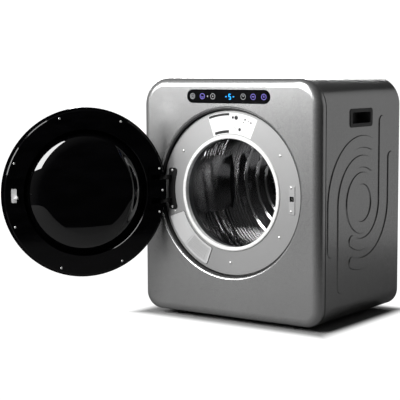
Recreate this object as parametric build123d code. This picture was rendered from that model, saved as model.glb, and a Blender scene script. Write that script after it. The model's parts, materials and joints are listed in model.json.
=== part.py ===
from build123d import *
import math
import os

# Compact front-loading tumble dryer, in millimetres.
# Origin on the floor under the middle of the cabinet, +X right, +Y to the back, +Z up.
# Most sizes are given as a depth behind the front face, and as a radius or height about the porthole axis.

# Cabinet
cabinet_width = 600.0
plinth_height = 116.5
crown_height = 83.5
cabinet_depth = 460.0
top_corner_radius = 80.0
bottom_corner_radius = 50.0
foot_height = 13.0
sheet_wall = 1.5
front_wall = 2.5
front_edge_radius = 24.0
front_panel_depth = 30.0
seam_gap = 4.0
frame_wall = 3.5
frame_depth = 20.0

# Door well and porthole
well_radius = 240.0
well_lip_radius = 5.5
well_depth = 13.0
well_trim_wall = 3.0
well_face_depth = 15.0
well_ring_gap = 5.0
well_flange_lap = 22.0
well_screw_circle = 199.0
well_screw_angles = (34.0, 145.0, 325.0, 270.0)
well_side_screw = (-196.0, -61.5)
porthole_radius = 154.0
porthole_ring_width = 11.0
porthole_ring_depth = 11.6
sleeve_wall = 2.0
bulkhead_depth = 48.0
bulkhead_radius = 285.0
boss_circle = 254.0
boss_radius = 6.0
boss_angles = (20.0, 70.0, 110.0, 150.0, 290.0, 330.0)

# Drum
drum_radius = 252.0
drum_wall = 1.2
drum_front = 56.0
drum_back_gap = 55.0
bead_height = 3.0
bead_width = 12.0
bead_depths = (188.0, 268.0, 294.0, 316.0)
rear_wall_inset = 3.0
rear_dish_depth = 12.0
rear_hub_radius = 60.0
rear_dish_radius = 80.0
rear_bead_radii = (132.0, 164.0, 206.0)
air_hole_circle = 104.0
air_hole_radius = 5.5
air_hole_count = 18
belt_depth = 243.0
belt_width = 12.0
belt_thickness = 3.0
spigot_radius = 242.0
spigot_length = 22.0
felt_gap = 0.4
lifter_count = 3
lifter_angle = 181.0
lifter_height = 35.0
lifter_base = 174.0
lifter_wall = 1.2
lifter_front = 82.0
lifter_back_gap = 20.0
lifter_end_slope = 30.0
shaft_radius = 12.0
hub_radius = 52.0
bush_wall = 4.0
running_clearance = 0.05

# Door, drawn closed and then swung open
hinge_inset = 12.0
hinge_depth = -7.0
door_open_angle = 125.0
door_lap = 2.5
door_back = -4.0
door_crown = 19.0
door_wall = 3.0
window_radius = 199.0
window_crown = 11.0
window_wall = 3.5
inner_ring_gap = 4.0
inner_face_depth = 10.0
inner_ring_wall = 5.0
bowl_rim_radius = 180.0
bowl_floor_radius = 148.0
bowl_depth = 24.0
bowl_wall = 4.0
door_screw_inset = 10.5
door_screw_step = 46.8

# Hinge
hinge_middle = 3.5
hinge_base_height = 121.0
hinge_base_inset = 25.0
hinge_base_width = 28.0
hinge_base_wall = 3.0
arm_offset = 34.0
arm_height = 13.0
arm_wall = 5.0
knuckle_radius = 5.5
pin_radius = 3.0
pin_length = 94.0
arm_clearance = 1.5
hinge_recess_margin = 7.0
hinge_recess_width = 40.0
hinge_screw_inset = 12.0
hinge_screw_spread = 53.5

# Latch
latch_inset = 36.0
latch_height = -5.5
latch_hole_width = 13.0
latch_hole_height = 14.0
latch_plate_width = 19.0
latch_plate_height = 80.0
latch_plate_middle = -8.6
latch_screw_heights = (25.0, -40.0)
hook_width = 5.0
hook_height = 7.0
hook_length = 22.0
hook_gap = 0.3
latch_box_width = 30.0
latch_box_height = 40.0
latch_box_depth = 31.0
latch_box_wall = 2.0
pawl_front = 24.0
pawl_depth = 9.0
pawl_height = 8.0
pawl_length = 6.0
spring_wire = 0.3
spring_radius = 2.2
spring_pitch = 1.5
switch_front = 36.5
switch_depth = 9.0
plunger_radius = 2.5
plunger_length = 8.0

# Lint filter
filter_inner_margin = 17.0
filter_outer_margin = 14.0
filter_start = 200.0
filter_end = 249.0
filter_gap = 1.2
filter_back = 43.0

# Controls
lens_width = 282.0
lens_height = 39.0
lens_x = 2.0
lens_drop = 51.0
board_depth = 9.0
display_width = 46.0
display_height = 20.0
display_depth = 4.4
socket_width = 22.0
socket_height = 9.0
power_board_place = (286.0, 60.0, 130.0)
power_board_length = 120.0
power_board_height = 90.0
power_board_posts = (54.0, 39.0)

# Handle cups
cup_depth_back = 226.5
cup_drop = 111.5
cup_flange_length = 130.0
cup_flange_height = 52.0
cup_mouth_length = 104.0
cup_mouth_height = 31.0
cup_reach = 34.0

# Pressed ribs on the cabinet sides
rib_centre_offset = 2.0
rib_centre_z = 328.0
rib_width = 36.0
rib_height = 2.5
rib_edge_gap = 56.5
rib_pitch = 55.5
rib_ring_pitch = 48.0
rib_end_reach = 54.0
rib_inner_drop = 226.0
rib_outer_drop = 120.0

# Fasteners
shank_share = 0.4
head_share = 0.45
screw_clearance = 0.15
screw_sides = 10
screw_taper = 30.0
well_screw_head = 4.0
hinge_screw_head = 4.2
latch_screw_head = 3.4
door_screw_head = 3.6
body_screw_head = 3.5
seam_screw_head = 1.9

# Back, floor and feet
back_inset = 3.0
back_rim_depth = 14.0
back_press_inner = 78.0
back_press_outer = 158.0
back_press_rise = 5.0
back_press_slope = 8.0
grille_slot_width = 60.0
grille_slot_height = 5.0
grille_columns = (-225.0, -150.0, 150.0, 225.0)
grille_drop = 210.0
grille_step = 13.0
grille_count = 6
wall_hole_radius = 4.0
wall_hole_x = 200.0
wall_hole_low = 160.0
wall_hole_drop = 80.0
cord_radius = 8.0
cord_x = 225.0
cord_z = 103.0
pan_wall = 2.0
pan_width = 500.0
pan_front_gap = 1.0
pan_back_gap = 25.0
pan_rim_height = 6.0
pan_bead_width = 34.0
foot_x = 198.0
foot_front = 56.0
foot_radius = 17.0
foot_bore = 4.5
back_screw_inset = 28.0
back_screw_heights = (150.0, 350.0, 550.0)
back_end_screw_x = 180.0
back_end_screw_inset = 20.0
foot_stud_radius = 8.0

# Motor and air path
motor_x = -190.0
motor_z = 95.0
motor_radius = 48.0
rotor_radius = 5.0
pulley_radius = 9.7
motor_front = 118.0
motor_length = 100.0
motor_saddle_depths = (136.0, 196.0)
rotor_front = 56.0
rotor_back = 262.0
fan_radius = 58.0
fan_front = 52.0
fan_depth = 58.0
fan_inlet_radius = 38.0
fan_outlet_low = 23.0
fan_outlet_high = 88.0
blade_count = 18
exhaust_x = 70.0
exhaust_z = 72.0
spigot_pipe_radius = 49.0
spigot_pipe_length = 40.0
exhaust_wall = 1.8
exhaust_bend = 62.0

# Air box behind the drum
air_box_inner = 70.0
air_box_outer = 201.2
air_box_wall = 1.2
air_box_gap = 6.0
air_box_back = 18.0
air_box_post_circle = 118.0
heater_width = 96.0
heater_height = 40.0
heater_rise = 135.0
fin_gap = 2.5
fin_step = 10.0
thermostat_x = 120.0
thermostat_rise = 130.0
spider_radius = 74.0
spider_web = 46.0

# Belt tensioner
idler_pivot_x = -62.0
idler_pivot_z = 50.0
idler_pin_radius = 4.0
idler_axle_radius = 3.0
idler_reach = 60.0
roller_radius = 13.0
roller_width = 16.0

# Sizes that follow from those above
porthole_height = plinth_height + well_radius
cabinet_height = porthole_height + well_radius + crown_height
front_y = -cabinet_depth / 2
axis_z = foot_height + porthole_height
half_width = cabinet_width / 2
well_ring_radius = well_radius - well_ring_gap
well_flange_radius = well_radius + well_flange_lap
filter_inner = porthole_radius + filter_inner_margin
filter_outer = well_radius - filter_outer_margin
drum_back = cabinet_depth - drum_back_gap
rear_wall_depth = drum_back - rear_wall_inset
lifter_length = rear_wall_depth - lifter_back_gap - lifter_front
door_radius = well_radius + door_lap
inner_ring_radius = well_radius - inner_ring_gap
door_screw_circle = inner_ring_radius - door_screw_inset
hinge_x = hinge_inset - well_radius
hinge_base_outer = hinge_base_inset - well_radius
hinge_base_inner = hinge_base_outer + hinge_base_width
hinge_recess_outer = hinge_base_outer - hinge_recess_margin
hinge_recess_inner = hinge_recess_outer + hinge_recess_width
latch_x = well_radius - latch_inset
lens_z = cabinet_height - lens_drop
cup_z = cabinet_height - cup_drop
rib_centre_back = cabinet_depth / 2 + rib_centre_offset
rib_outer_radius = cabinet_depth / 2 - rib_edge_gap
rib_inner_radius = rib_outer_radius - rib_pitch
rib_ring_radius = rib_inner_radius - rib_ring_pitch
frame_start = front_panel_depth - 6
pan_front = frame_start + frame_depth + pan_front_gap
pan_length = cabinet_depth - pan_front - pan_back_gap
pan_middle_y = (pan_front - pan_back_gap) / 2
foot_back = cabinet_depth - foot_front
grille_low = cabinet_height - grille_drop
wall_hole_high = cabinet_height - wall_hole_drop
porthole_axis = Axis((0, front_y, axis_z), (0, 1, 0))
seam_start = front_panel_depth + seam_gap
pan_floor = foot_height + sheet_wall + pan_wall + 0.05


def facing(depth, x=0.0, z=axis_z):
    """Plane at a depth behind the front face, seen from the front."""
    return Plane(origin=(x, front_y + depth, z), x_dir=(1, 0, 0), z_dir=(0, -1, 0))


def slab(outline, start, end, x=0.0, z=axis_z):
    """Extrude an outline seen from the front between two depths."""
    return extrude(facing(end, x, z) * outline, end - start)


def sideways(outline, x, length):
    """Extrude an outline seen from the right, in depth and cabinet height, towards +X."""
    plane = Plane(origin=(x, front_y, foot_height), x_dir=(0, 1, 0), z_dir=(1, 0, 0))
    return extrude(plane * outline, length)


def profile(*points):
    """Closed outline through (radius, depth) points.

    A third value rounds that corner, or bevels it where it is negative.
    """
    face = make_face(Polyline(*[p[:2] for p in points], close=True))
    for point in points:
        if len(point) == 3:
            corner = face.vertices().sort_by_distance((point[0], point[1]))[0]
            face = fillet(corner, point[2]) if point[2] > 0 else chamfer(corner, -point[2])
    return face


def turned(outline, x=0.0, z=axis_z):
    """Revolve a (radius, depth) outline about an axis that runs front to back."""
    plane = Plane(origin=(x, front_y, z), x_dir=(1, 0, 0), z_dir=(0, 0, 1))
    return revolve(plane * outline, Axis((x, front_y, z), (0, 1, 0)), 360)


def rod(radius, start, end, x=0.0, z=axis_z):
    """Round bar between two depths."""
    return slab(Circle(radius), start, end, x, z)


def body_outline(inset=0.0):
    """Front outline of the cabinet about the porthole axis, with larger corners at the top."""
    face = Rectangle(cabinet_width - 2 * inset, cabinet_height - 2 * inset)
    face = fillet(face.vertices().group_by(Axis.Y)[-1], top_corner_radius - inset)
    face = fillet(face.vertices().group_by(Axis.Y)[0], bottom_corner_radius - inset)
    return Pos(0, cabinet_height / 2 - porthole_height) * face


def sector(inner, outer, start, end):
    """Part of a flat ring between two angles, counted from +X towards +Z."""
    ring = Circle(outer) - Circle(inner)
    reach = 2 * outer
    first, last = math.radians(start), math.radians(end)
    wedge = Polyline(
        (0, 0),
        (reach * math.cos(first), reach * math.sin(first)),
        (reach * math.cos(last), reach * math.sin(last)),
        close=True,
    )
    return ring & make_face(wedge)


def polar(radius, angle):
    """Point on a circle about the porthole axis."""
    return radius * math.cos(math.radians(angle)), radius * math.sin(math.radians(angle))


def screw(head, length=8.0):
    """Screw along +Z with a tapered many-sided head, its underside at the origin."""
    cap = extrude(RegularPolygon(head, screw_sides), head_share * head, taper=screw_taper)
    shank = extrude(RegularPolygon(shank_share * head, 6), -length)
    return Pos(0, 0, 0.01) * (cap + shank)


def screw_holes(places, head, start, end):
    """Clearance holes for screws at (x, z) places between two depths."""
    hole = Circle(shank_share * head + screw_clearance)
    return slab(Sketch() + [Pos(x, z) * hole for x, z in places], start, end, 0, 0)


def well_screw_places():
    """Places of the five well ring screws."""
    side_x, side_height = well_side_screw
    return [polar_place(well_screw_circle, a) for a in well_screw_angles] + [(side_x, axis_z + side_height)]


def hinge_screw_places():
    """Places of the two hinge screws."""
    x, middle = hinge_base_outer + hinge_screw_inset, axis_z + hinge_middle
    return [(x, middle + side * hinge_screw_spread) for side in (-1, 1)]


def latch_screw_places():
    """Places of the two latch plate screws."""
    return [(latch_x - 2, axis_z + height) for height in latch_screw_heights]


def polar_place(radius, angle):
    """Cabinet position of a point on a circle about the porthole axis."""
    x, z = polar(radius, angle)
    return x, axis_z + z


def save(name, *solids):
    """Write one node, as one solid or as a group of separate solids."""
    shapes = [s for item in solids for s in item.solids()]
    export_step(shapes[0] if len(shapes) == 1 else Compound(children=shapes), f"parts/{name}.step")


# Cabinet shell

def front_panel():
    """Moulded front with rounded outer edges and a rolled lip round the door well."""
    shell = slab(body_outline(), 0, front_panel_depth)
    shell = fillet(shell.edges().group_by(Axis.Y)[0], front_edge_radius)
    hollow = slab(body_outline(front_wall), front_wall, front_panel_depth + 1)
    hollow = chamfer(hollow.edges().group_by(Axis.Y)[0], 0.6 * front_edge_radius)
    lip_outer = well_radius + 2 * well_lip_radius
    shell = shell - hollow - rod(lip_outer - 1, -1, well_depth)
    lip = turned(profile(
        (lip_outer, 0), (well_radius, 0, well_lip_radius), (well_radius, well_depth),
        (well_radius + front_wall, well_depth),
        (well_radius + front_wall, front_wall, front_wall - well_lip_radius), (lip_outer, front_wall)))
    shell = shell + lip
    pocket = SlotOverall(lens_width, lens_height)
    return shell - slab(pocket, -1, front_wall + 1, lens_x, foot_height + lens_z)


def front_frame():
    """Black carrier frame that joins the front panel and the wrapper and shows in the seam."""
    start = frame_start
    front = body_outline(front_wall + 0.2) - body_outline(front_wall + frame_wall)
    rear = body_outline(sheet_wall + 0.3) - body_outline(front_wall + frame_wall)
    frame = slab(front, start, seam_start) + slab(rear, seam_start, start + frame_depth)
    return frame - [seam_place(side) * Cylinder(shank_share * seam_screw_head + screw_clearance, 20)
                    for side in (-1, 1)]


def seam_place(side):
    """Place of the small screw in the seam at a bottom corner, with +Z out of the corner."""
    radius = bottom_corner_radius - front_wall - 0.2
    lean = math.radians(50)
    centre_x = half_width - bottom_corner_radius
    x = side * (centre_x + radius * math.cos(lean))
    z = foot_height + bottom_corner_radius - radius * math.sin(lean)
    outward = (side * math.cos(lean), 0, -math.sin(lean))
    return Plane(origin=(x, front_y + seam_start - seam_gap / 2, z), x_dir=(0, 1, 0),
                 z_dir=outward).location


def rib_outline(width):
    """Outline of the pressed ribs about their centre, in depth and height."""
    shape = Circle(rib_ring_radius + width / 2) - Circle(rib_ring_radius - width / 2)
    for radius, drop in ((rib_inner_radius, rib_inner_drop), (rib_outer_radius, rib_outer_drop)):
        sweep_angle = 90 + math.degrees(math.asin(rib_end_reach / radius))
        arc = CenterArc((0, 0), radius, 180, -sweep_angle)
        bar = Pos(-radius, -drop / 2) * Rot(0, 0, 90) * SlotCenterToCenter(drop, width)
        arm = SlotArc(arc, width) + bar
        shape = shape + arm + Rot(0, 0, 180) * arm
    return shape


def side_rib(width, x, height, taper):
    """Ribs on the right side, raised towards +X."""
    plane = Plane(origin=(x, front_y + rib_centre_back, foot_height + rib_centre_z),
                  x_dir=(0, 1, 0), z_dir=(1, 0, 0))
    solids = [extrude(plane * face, height, taper=taper) for face in rib_outline(width).faces()]
    return Part() + solids


def mirrored(shape):
    """Copy of a shape on the other side of the cabinet."""
    return mirror(shape, about=Plane.YZ)


def cabinet_wrapper():
    """Sheet wrapper with pressed ribs and a hole for each handle cup."""
    ring = body_outline() - body_outline(sheet_wall)
    shell = slab(ring, seam_start, cabinet_depth)
    raised = side_rib(rib_width, half_width - 0.2, rib_height + 0.2, 40)
    hole = sideways(Pos(cup_depth_back, cup_z) * RectangleRounded(
        cup_flange_length - 10, cup_flange_height - 10, 6), half_width - 10, 20)
    for side in (lambda s: s, mirrored):
        shell = shell + side(raised) - side(hole)
    foot_holes = [Pos(x, y, foot_height) * Cylinder(foot_stud_radius + 0.3, 10) for x, y in foot_places()]
    return shell - foot_holes


def handle_cup():
    """Recessed grip on the right side, with a sloped floor and a rounded flange."""
    centre = Pos(cup_depth_back, cup_z)
    flange = sideways(centre * RectangleRounded(cup_flange_length, cup_flange_height, 9), half_width, 2.0)
    flange = chamfer(flange.faces().sort_by(Axis.X)[-1].edges(), 0.8)
    walls = sideways(centre * RectangleRounded(cup_flange_length - 11, cup_flange_height - 11, 5.5),
                     half_width - cup_reach, cup_reach)
    mouth = centre * RectangleRounded(cup_mouth_length, cup_mouth_height, 4)
    hollow = sideways(mouth, half_width - cup_reach + 2.5, cup_reach + 10)
    return flange + walls - hollow


def rear_panel():
    """Flat back with a folded rim, a pressed ring, an air grille and a round hole for the exhaust."""
    start = cabinet_depth - back_inset
    inset, through = sheet_wall + 0.5, (start - 1, start + sheet_wall + 1)
    plate = slab(body_outline(inset), start, start + sheet_wall)
    rim = slab(body_outline(inset) - body_outline(inset + sheet_wall), start - back_rim_depth, start)
    opening = slab(Circle(back_press_outer) - Circle(back_press_inner), *through)
    shell = plate + rim - opening + pressed_ring(start)
    shell = shell - rod(spigot_pipe_radius + 0.5, *through, exhaust_x, exhaust_z)
    slot = Rectangle(grille_slot_width, grille_slot_height)
    grille = [Pos(x, grille_low + grille_step * i) * slot for x in grille_columns
              for i in range(grille_count)]
    holes = [Pos(x, z) * Circle(wall_hole_radius) for x in (-wall_hole_x, wall_hole_x)
             for z in (wall_hole_low, wall_hole_high)]
    shell = shell - slab(Sketch() + grille + holes, *through, 0, foot_height)
    shell = shell - screw_holes(cabinet_screw_places(), body_screw_head, *through)
    return shell - rod(cord_radius, *through, cord_x, cord_z)


def pressed_ring(start):
    """Stiffening ring pressed inwards round the middle of the back."""
    inner, outer = back_press_inner, back_press_outer
    slope, floor = back_press_slope, start - back_press_rise
    return turned(profile(
        (inner, start), (inner + slope, floor), (outer - slope, floor), (outer, start),
        (outer, start + sheet_wall), (outer - slope - 1, floor + sheet_wall),
        (inner + slope + 1, floor + sheet_wall), (inner, start + sheet_wall)))


def cabinet_screw_places():
    """Places of the rear panel screws."""
    side_x, end_x, inset = half_width - back_screw_inset, back_end_screw_x, back_end_screw_inset
    end_heights = (foot_height + inset, foot_height + cabinet_height - inset)
    sides = [(x, z) for x in (-side_x, side_x) for z in back_screw_heights]
    ends = [(x, z) for x in (-end_x, end_x) for z in end_heights]
    return sides + ends


def base_pan():
    """Folded tray on the floor of the wrapper that carries the feet and the motor."""
    low = pan_floor - pan_wall - 0.03
    bead_length = pan_length - 10
    floor = low + pan_wall / 2
    tray = Box(pan_width, pan_length, pan_wall) - Box(pan_bead_width - 4, bead_length, pan_wall)
    tray = Pos(0, pan_middle_y, floor) * tray
    tray += Pos(0, pan_middle_y, floor + 4) * Box(pan_bead_width, bead_length + 4, pan_wall)
    for side in (-1, 1):
        rim = Box(pan_wall, pan_length, pan_rim_height)
        tray += Pos(side * (pan_width - pan_wall) / 2, pan_middle_y, low + pan_rim_height / 2) * rim
        tray += Pos(side * (pan_bead_width / 2 - 1), pan_middle_y, low + 3) * Box(2, bead_length + 4, 4)
        tray += Pos(0, pan_middle_y + side * (bead_length / 2 + 1), low + 3) * Box(pan_bead_width, 2, 4)
    holes = [Pos(x, y, low) * Cylinder(foot_stud_radius + 0.3, 12) for x, y in foot_places()]
    return tray - holes


def foot_places():
    """Floor positions of the four feet."""
    return [(x, front_y + depth) for x in (-foot_x, foot_x) for depth in (foot_front, foot_back)]


def feet():
    """Rubber feet, each a flared pad with a neck through the cabinet floor and a bolt hole."""
    shoulder = foot_height - 0.2
    outline = make_face(Polyline(
        (foot_bore, 0), (foot_radius - 2, 0), (foot_radius, 3), (foot_radius - 3, shoulder),
        (foot_stud_radius, shoulder), (foot_stud_radius, pan_floor + 5), (foot_bore, pan_floor + 5),
        close=True))
    foot = revolve(Plane.XZ * outline, Axis.Z, 360)
    return [Pos(x, y, 0) * foot for x, y in foot_places()]


# Door well

def well_trim():
    """Black ring between the rolled lip and the well ring, with a step behind each of them."""
    outer = well_radius - 0.3
    inner = outer - well_trim_wall
    lip_back = well_depth + 0.05
    ring_front = well_face_depth + 10 - 0.05
    return turned(profile(
        (inner, well_lip_radius), (outer, well_lip_radius), (outer, lip_back), (outer + 6, lip_back),
        (outer + 6, lip_back + 2), (outer, lip_back + 2), (outer, ring_front - 2),
        (outer + 10, ring_front - 2), (outer + 10, ring_front), (inner, ring_front)))


def well_ring():
    """Pressed ring behind the open door, with cut-outs for the filter, latch and porthole."""
    face, wall = well_face_depth, sheet_wall
    deep = face + 11.5
    ring = turned(profile(
        (porthole_radius + 4, face), (well_ring_radius, face, -2.5), (well_ring_radius, deep - wall),
        (well_flange_radius, deep - wall), (well_flange_radius, deep), (well_ring_radius - wall, deep),
        (well_ring_radius - wall, face + wall), (porthole_radius + 4, face + wall)))
    window = sector(filter_inner, filter_outer, filter_start, filter_end)
    ring = ring - slab(fillet(window.vertices(), 5), face - 1, face + wall + 1)
    latch = Pos(latch_x, latch_height) * Rectangle(latch_hole_width + 3, latch_hole_height + 4)
    ring = ring - slab(latch, face - 1, face + wall + 1)
    for places, head in ((well_screw_places(), well_screw_head), (hinge_screw_places(), hinge_screw_head),
                         (latch_screw_places(), latch_screw_head)):
        ring = ring - screw_holes(places, head, face - 1, face + wall + 1)
    return ring


def porthole_ring():
    """White ring that edges the porthole and clips over the sleeve."""
    inner, outer = porthole_radius, porthole_radius + porthole_ring_width
    front, lap = porthole_ring_depth, 26.0
    return turned(profile(
        (inner, front, -1.2), (outer, front, -2.2), (outer, well_face_depth - 0.1),
        (inner + 1.8, well_face_depth - 0.1), (inner + 1.8, lap), (inner, lap)))


def front_bulkhead():
    """Inner front wall of the drum chamber: porthole sleeve, disc, spigot for the felt and fixing rim."""
    sleeve, wall = porthole_radius + 2.0, sleeve_wall
    start, end, rim = well_face_depth + sheet_wall + 0.8, bulkhead_depth, bulkhead_radius
    body = turned(profile(
        (sleeve, start), (sleeve + wall, start), (sleeve + wall, end), (rim, end), (rim, end + wall),
        (spigot_radius, end + wall), (spigot_radius, end + spigot_length),
        (spigot_radius - wall, end + spigot_length), (spigot_radius - wall, end + wall),
        (sleeve, end + wall, -2.0)))
    slots = [sector(filter_inner + 8, filter_outer - 8, a, a + 2.6) for a in range(204, 244, 5)]
    body = body - slab(Sketch() + slots, end - 1, end + wall + 1)
    flange = well_face_depth + 11.55
    bosses = [Pos(*polar(boss_circle, a)) * Circle(boss_radius) for a in boss_angles]
    return body + slab(Sketch() + bosses, flange, end + 0.5)


def drum_felt():
    """Felt band on the bulkhead spigot that the drum's front rim runs round."""
    outer = drum_radius - drum_wall - felt_gap
    start = drum_front + 1
    return turned(profile((spigot_radius + 0.1, start), (outer, start, -2.0), (outer, start + 11),
                          (spigot_radius + 0.1, start + 11)))


def latch_plate():
    """Silver striker plate with a square hook hole."""
    middle = latch_plate_middle
    plate = Pos(latch_x, middle) * RectangleRounded(latch_plate_width, latch_plate_height, 3)
    hole = Pos(latch_x, latch_height) * Rectangle(latch_hole_width, latch_hole_height)
    solid = slab(plate, well_face_depth - 1.6, well_face_depth - 0.05)
    solid = chamfer(solid.faces().sort_by(Axis.Y)[0].outer_wire().edges(), 0.6)
    solid = solid - slab(hole, well_face_depth - 3, well_face_depth + 1)
    return solid - screw_holes(latch_screw_places(), latch_screw_head, well_face_depth - 3,
                               well_face_depth + 1)


def latch_housing():
    """Box behind the latch plate with a channel for the hook, the pawl and the switch."""
    start = well_face_depth + sheet_wall + 0.05
    end = start + latch_box_depth
    middle = dict(x=latch_x - 2, z=axis_z + latch_height)
    inner = Rectangle(latch_box_width - 2 * latch_box_wall, latch_box_height - 2 * latch_box_wall)
    box = slab(Rectangle(latch_box_width, latch_box_height), start, end, **middle)
    ears = slab(RectangleRounded(18, 82, 4), start, start + 2, latch_x - 2, axis_z - 7.5)
    box = box + ears - slab(inner, start - 1, end - latch_box_wall, **middle)
    for side in (-1, 1):
        guide = Pos(-8, side * (pawl_height / 2 + 1.2)) * Rectangle(latch_box_width / 2 - 1, 2)
        box = box + slab(guide, pawl_front - 1, pawl_front + pawl_depth + 1, **middle)
    return box - screw_holes(latch_screw_places(), latch_screw_head, start - 1, start + 3)


def pawl_nose_x():
    """Resting place of the pawl's nose beside the hook."""
    return latch_x - hook_width / 2 - hook_gap


def latch_pawl():
    """Sprung catch block with a wedge nose that presses on the side of the hook."""
    nose = pawl_nose_x()
    outline = make_face(Polyline(
        (nose, 2.5), (nose - 2.5, 0), (nose - pawl_length, 0), (nose - pawl_length, pawl_depth),
        (nose - 2.5, pawl_depth), (nose, pawl_depth - 2.5), close=True))
    plane = Plane(origin=(0, front_y + pawl_front, axis_z + latch_height - pawl_height / 2),
                  x_dir=(1, 0, 0), z_dir=(0, 0, 1))
    return extrude(plane * outline, pawl_height)


def latch_spring():
    """Compression spring between the pawl and the wall of the latch housing."""
    wall = latch_x - 2 - latch_box_width / 2 + latch_box_wall
    length = pawl_nose_x() - pawl_length - wall - 2 * spring_wire - 0.06
    coil = Helix(pitch=spring_pitch, height=length, radius=spring_radius)
    start = Plane(origin=coil @ 0, z_dir=coil % 0)
    wire = sweep(start * RegularPolygon(spring_wire, 4), path=coil)
    place = Plane(origin=(wall + spring_wire + 0.03, front_y + pawl_front + pawl_depth / 2,
                          axis_z + latch_height), x_dir=(0, 1, 0), z_dir=(1, 0, 0))
    return place * wire


def switch_body():
    """Door switch behind the hook, with a bore for its plunger and three terminals."""
    start, end = switch_front, switch_front + switch_depth
    place = dict(x=latch_x, z=axis_z + latch_height)
    block = slab(Rectangle(16, 13), start, end, **place)
    bore = slab(Circle(plunger_radius + 0.1), start - 1, end - 1.5, **place)
    terminals = [slab(Pos(dx, -8.5) * Rectangle(0.8, 5), start + 3, end - 2, **place)
                 for dx in (-5, 0, 5)]
    return block - bore + terminals


def switch_plunger():
    """Sprung plunger of the door switch, in front of the closed hook's tip."""
    tip = inner_face_depth + 0.6 + hook_length + hook_gap
    return turned(profile((0, tip), (plunger_radius, tip, -0.8), (plunger_radius, tip + plunger_length),
                          (0, tip + plunger_length)), latch_x, axis_z + latch_height)


# Lint filter

def filter_cover():
    """Cover and frame of the lint filter, ribbed on its lower half, drawn out towards the front."""
    front = well_face_depth - 2.2
    outline = sector(filter_inner + filter_gap, filter_outer - filter_gap,
                     filter_start + 0.35, filter_end - 0.35)
    plate = slab(fillet(outline.vertices(), 5), front, front + 2.0)
    groove = sector(filter_inner, filter_outer, 224.4, 224.9)
    plate = plate - slab(groove, front - 1, front + 0.8)
    ribs = [sector(filter_inner + 7, filter_outer - 7, a, a + 0.55) for a in
            [226.6 + 1.95 * i for i in range(10)]]
    plate = plate - slab(Sketch() + ribs, front - 1, front + 0.7)
    frame = sector(filter_inner + 5, filter_outer - 5, filter_start + 2, filter_end - 2)
    opening = sector(filter_inner + 9, filter_outer - 9, filter_start + 3.4, filter_end - 3.4)
    basket = slab(fillet(frame.vertices(), 3) - opening, front + 1.9, filter_back)
    windows = [sector(filter_outer - 12, filter_outer, a, a + 7) for a in (205, 214.5, 227.5, 237)]
    return plate + basket - slab(Sketch() + windows, 29, 39)


def filter_mesh():
    """Fine mesh panel at the back of the filter frame."""
    opening = sector(filter_inner + 9.2, filter_outer - 9.2, filter_start + 3.5, filter_end - 3.5)
    bars = [sector(filter_inner, filter_outer, a, a + 1.2) for a in range(208, 244, 9)]
    holes = Sketch() + [opening & (Circle(r + 12) - Circle(r)) for r in (184, 200)] - bars
    return slab(opening, filter_back - 1.4, filter_back - 0.2) - slab(
        holes, filter_back - 2, filter_back)


# Controls

def control_lens():
    """Glossy pill-shaped touch panel with a rear flange."""
    gap = 0.25
    place = dict(x=lens_x, z=foot_height + lens_z)
    front = slab(SlotOverall(lens_width - 2 * gap, lens_height - 2 * gap), -0.8, front_wall, **place)
    front = chamfer(front.faces().sort_by(Axis.Y)[0].edges(), 0.5)
    flange = slab(SlotOverall(lens_width + 8, lens_height + 8), front_wall + 0.05, front_wall + 1.6,
                  **place)
    posts = [Pos(x, z) * Circle(3) for x in (-120, 120) for z in (-10, 10)]
    front = front + slab(Sketch() + posts, front_wall + 1, board_depth - 0.05, **place)
    return front + slab(SlotOverall(lens_width - 4, lens_height - 4), 1, front_wall + 1, **place) + flange


def control_board():
    """Circuit board behind the lens with its display block and ribbon socket."""
    place = dict(x=lens_x, z=foot_height + lens_z)
    outline = RectangleRounded(lens_width - 20, lens_height - 9, 3)
    board = slab(outline, board_depth, board_depth + 1.6, **place)
    display = slab(Pos(7, 0) * Rectangle(display_width, display_height), display_depth, board_depth + 0.2,
                   **place)
    socket = slab(Pos(90, 0) * Rectangle(socket_width, socket_height), board_depth + 1.5, 17, **place)
    return board + display + socket


def power_board():
    """Main board with heat sink and relays, upright inside the right side."""
    board = Box(2, power_board_length, power_board_height)
    parts = board + [Pos(-8, y, 20) * Box(16, 22, 26) for y in (-40, -10)]
    fins = [Pos(-10, 30 + 6 * i, -14) * Box(20, 2, 40) for i in range(5)]
    sink = Pos(-2.5, 42, -14) * Box(3, 30, 40)
    post, (reach, rise) = Rot(0, 90, 0) * Cylinder(3, 11.4), power_board_posts
    posts = [Pos(6.7, y, z) * post for y in (-reach, reach) for z in (-rise, rise)]
    return Pos(*power_board_place) * (parts + sink + fins + posts)


# Door, drawn closed

def door_bezel():
    """Domed outer ring of the door, hollow behind."""
    r, w = door_radius, door_wall
    shoulder, crown = door_back - 11.5, -door_crown - 4
    return turned(profile(
        (r, door_back), (r, shoulder, 9), (window_radius + 7, crown), (window_radius, crown, -1.0),
        (window_radius, crown + w), (window_radius + 7.5, crown + w), (r - w, shoulder + 2.5, -5),
        (r - w, door_back)))


def dome(radius, crown, edge):
    """Arc from the axis out to a radius, part of a sphere."""
    rise = edge - crown
    ball = (radius ** 2 + rise ** 2) / (2 * rise)
    half = radius / 2
    return ThreePointArc((0, crown), (half, crown + ball - math.sqrt(ball ** 2 - half ** 2)),
                         (radius, edge))


def door_window():
    """Dark domed outer lens, seated in the bezel with a rear flange."""
    r = window_radius - 0.3
    edge, crown = -door_crown - 3.6, -door_crown - 3.6 - window_crown
    seat = -door_crown - 0.8
    inner_r = r - 6
    back = seat + window_wall - 0.5
    outer = dome(r, crown, edge)
    side = Polyline((r, edge), (r, seat), (r + 7, seat), (r + 7, seat + 2.2), (inner_r, back),
                    (inner_r * 0.6, crown + window_wall + 3.5), (0, crown + window_wall), (0, crown))
    return turned(make_face([outer, side]))


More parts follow.
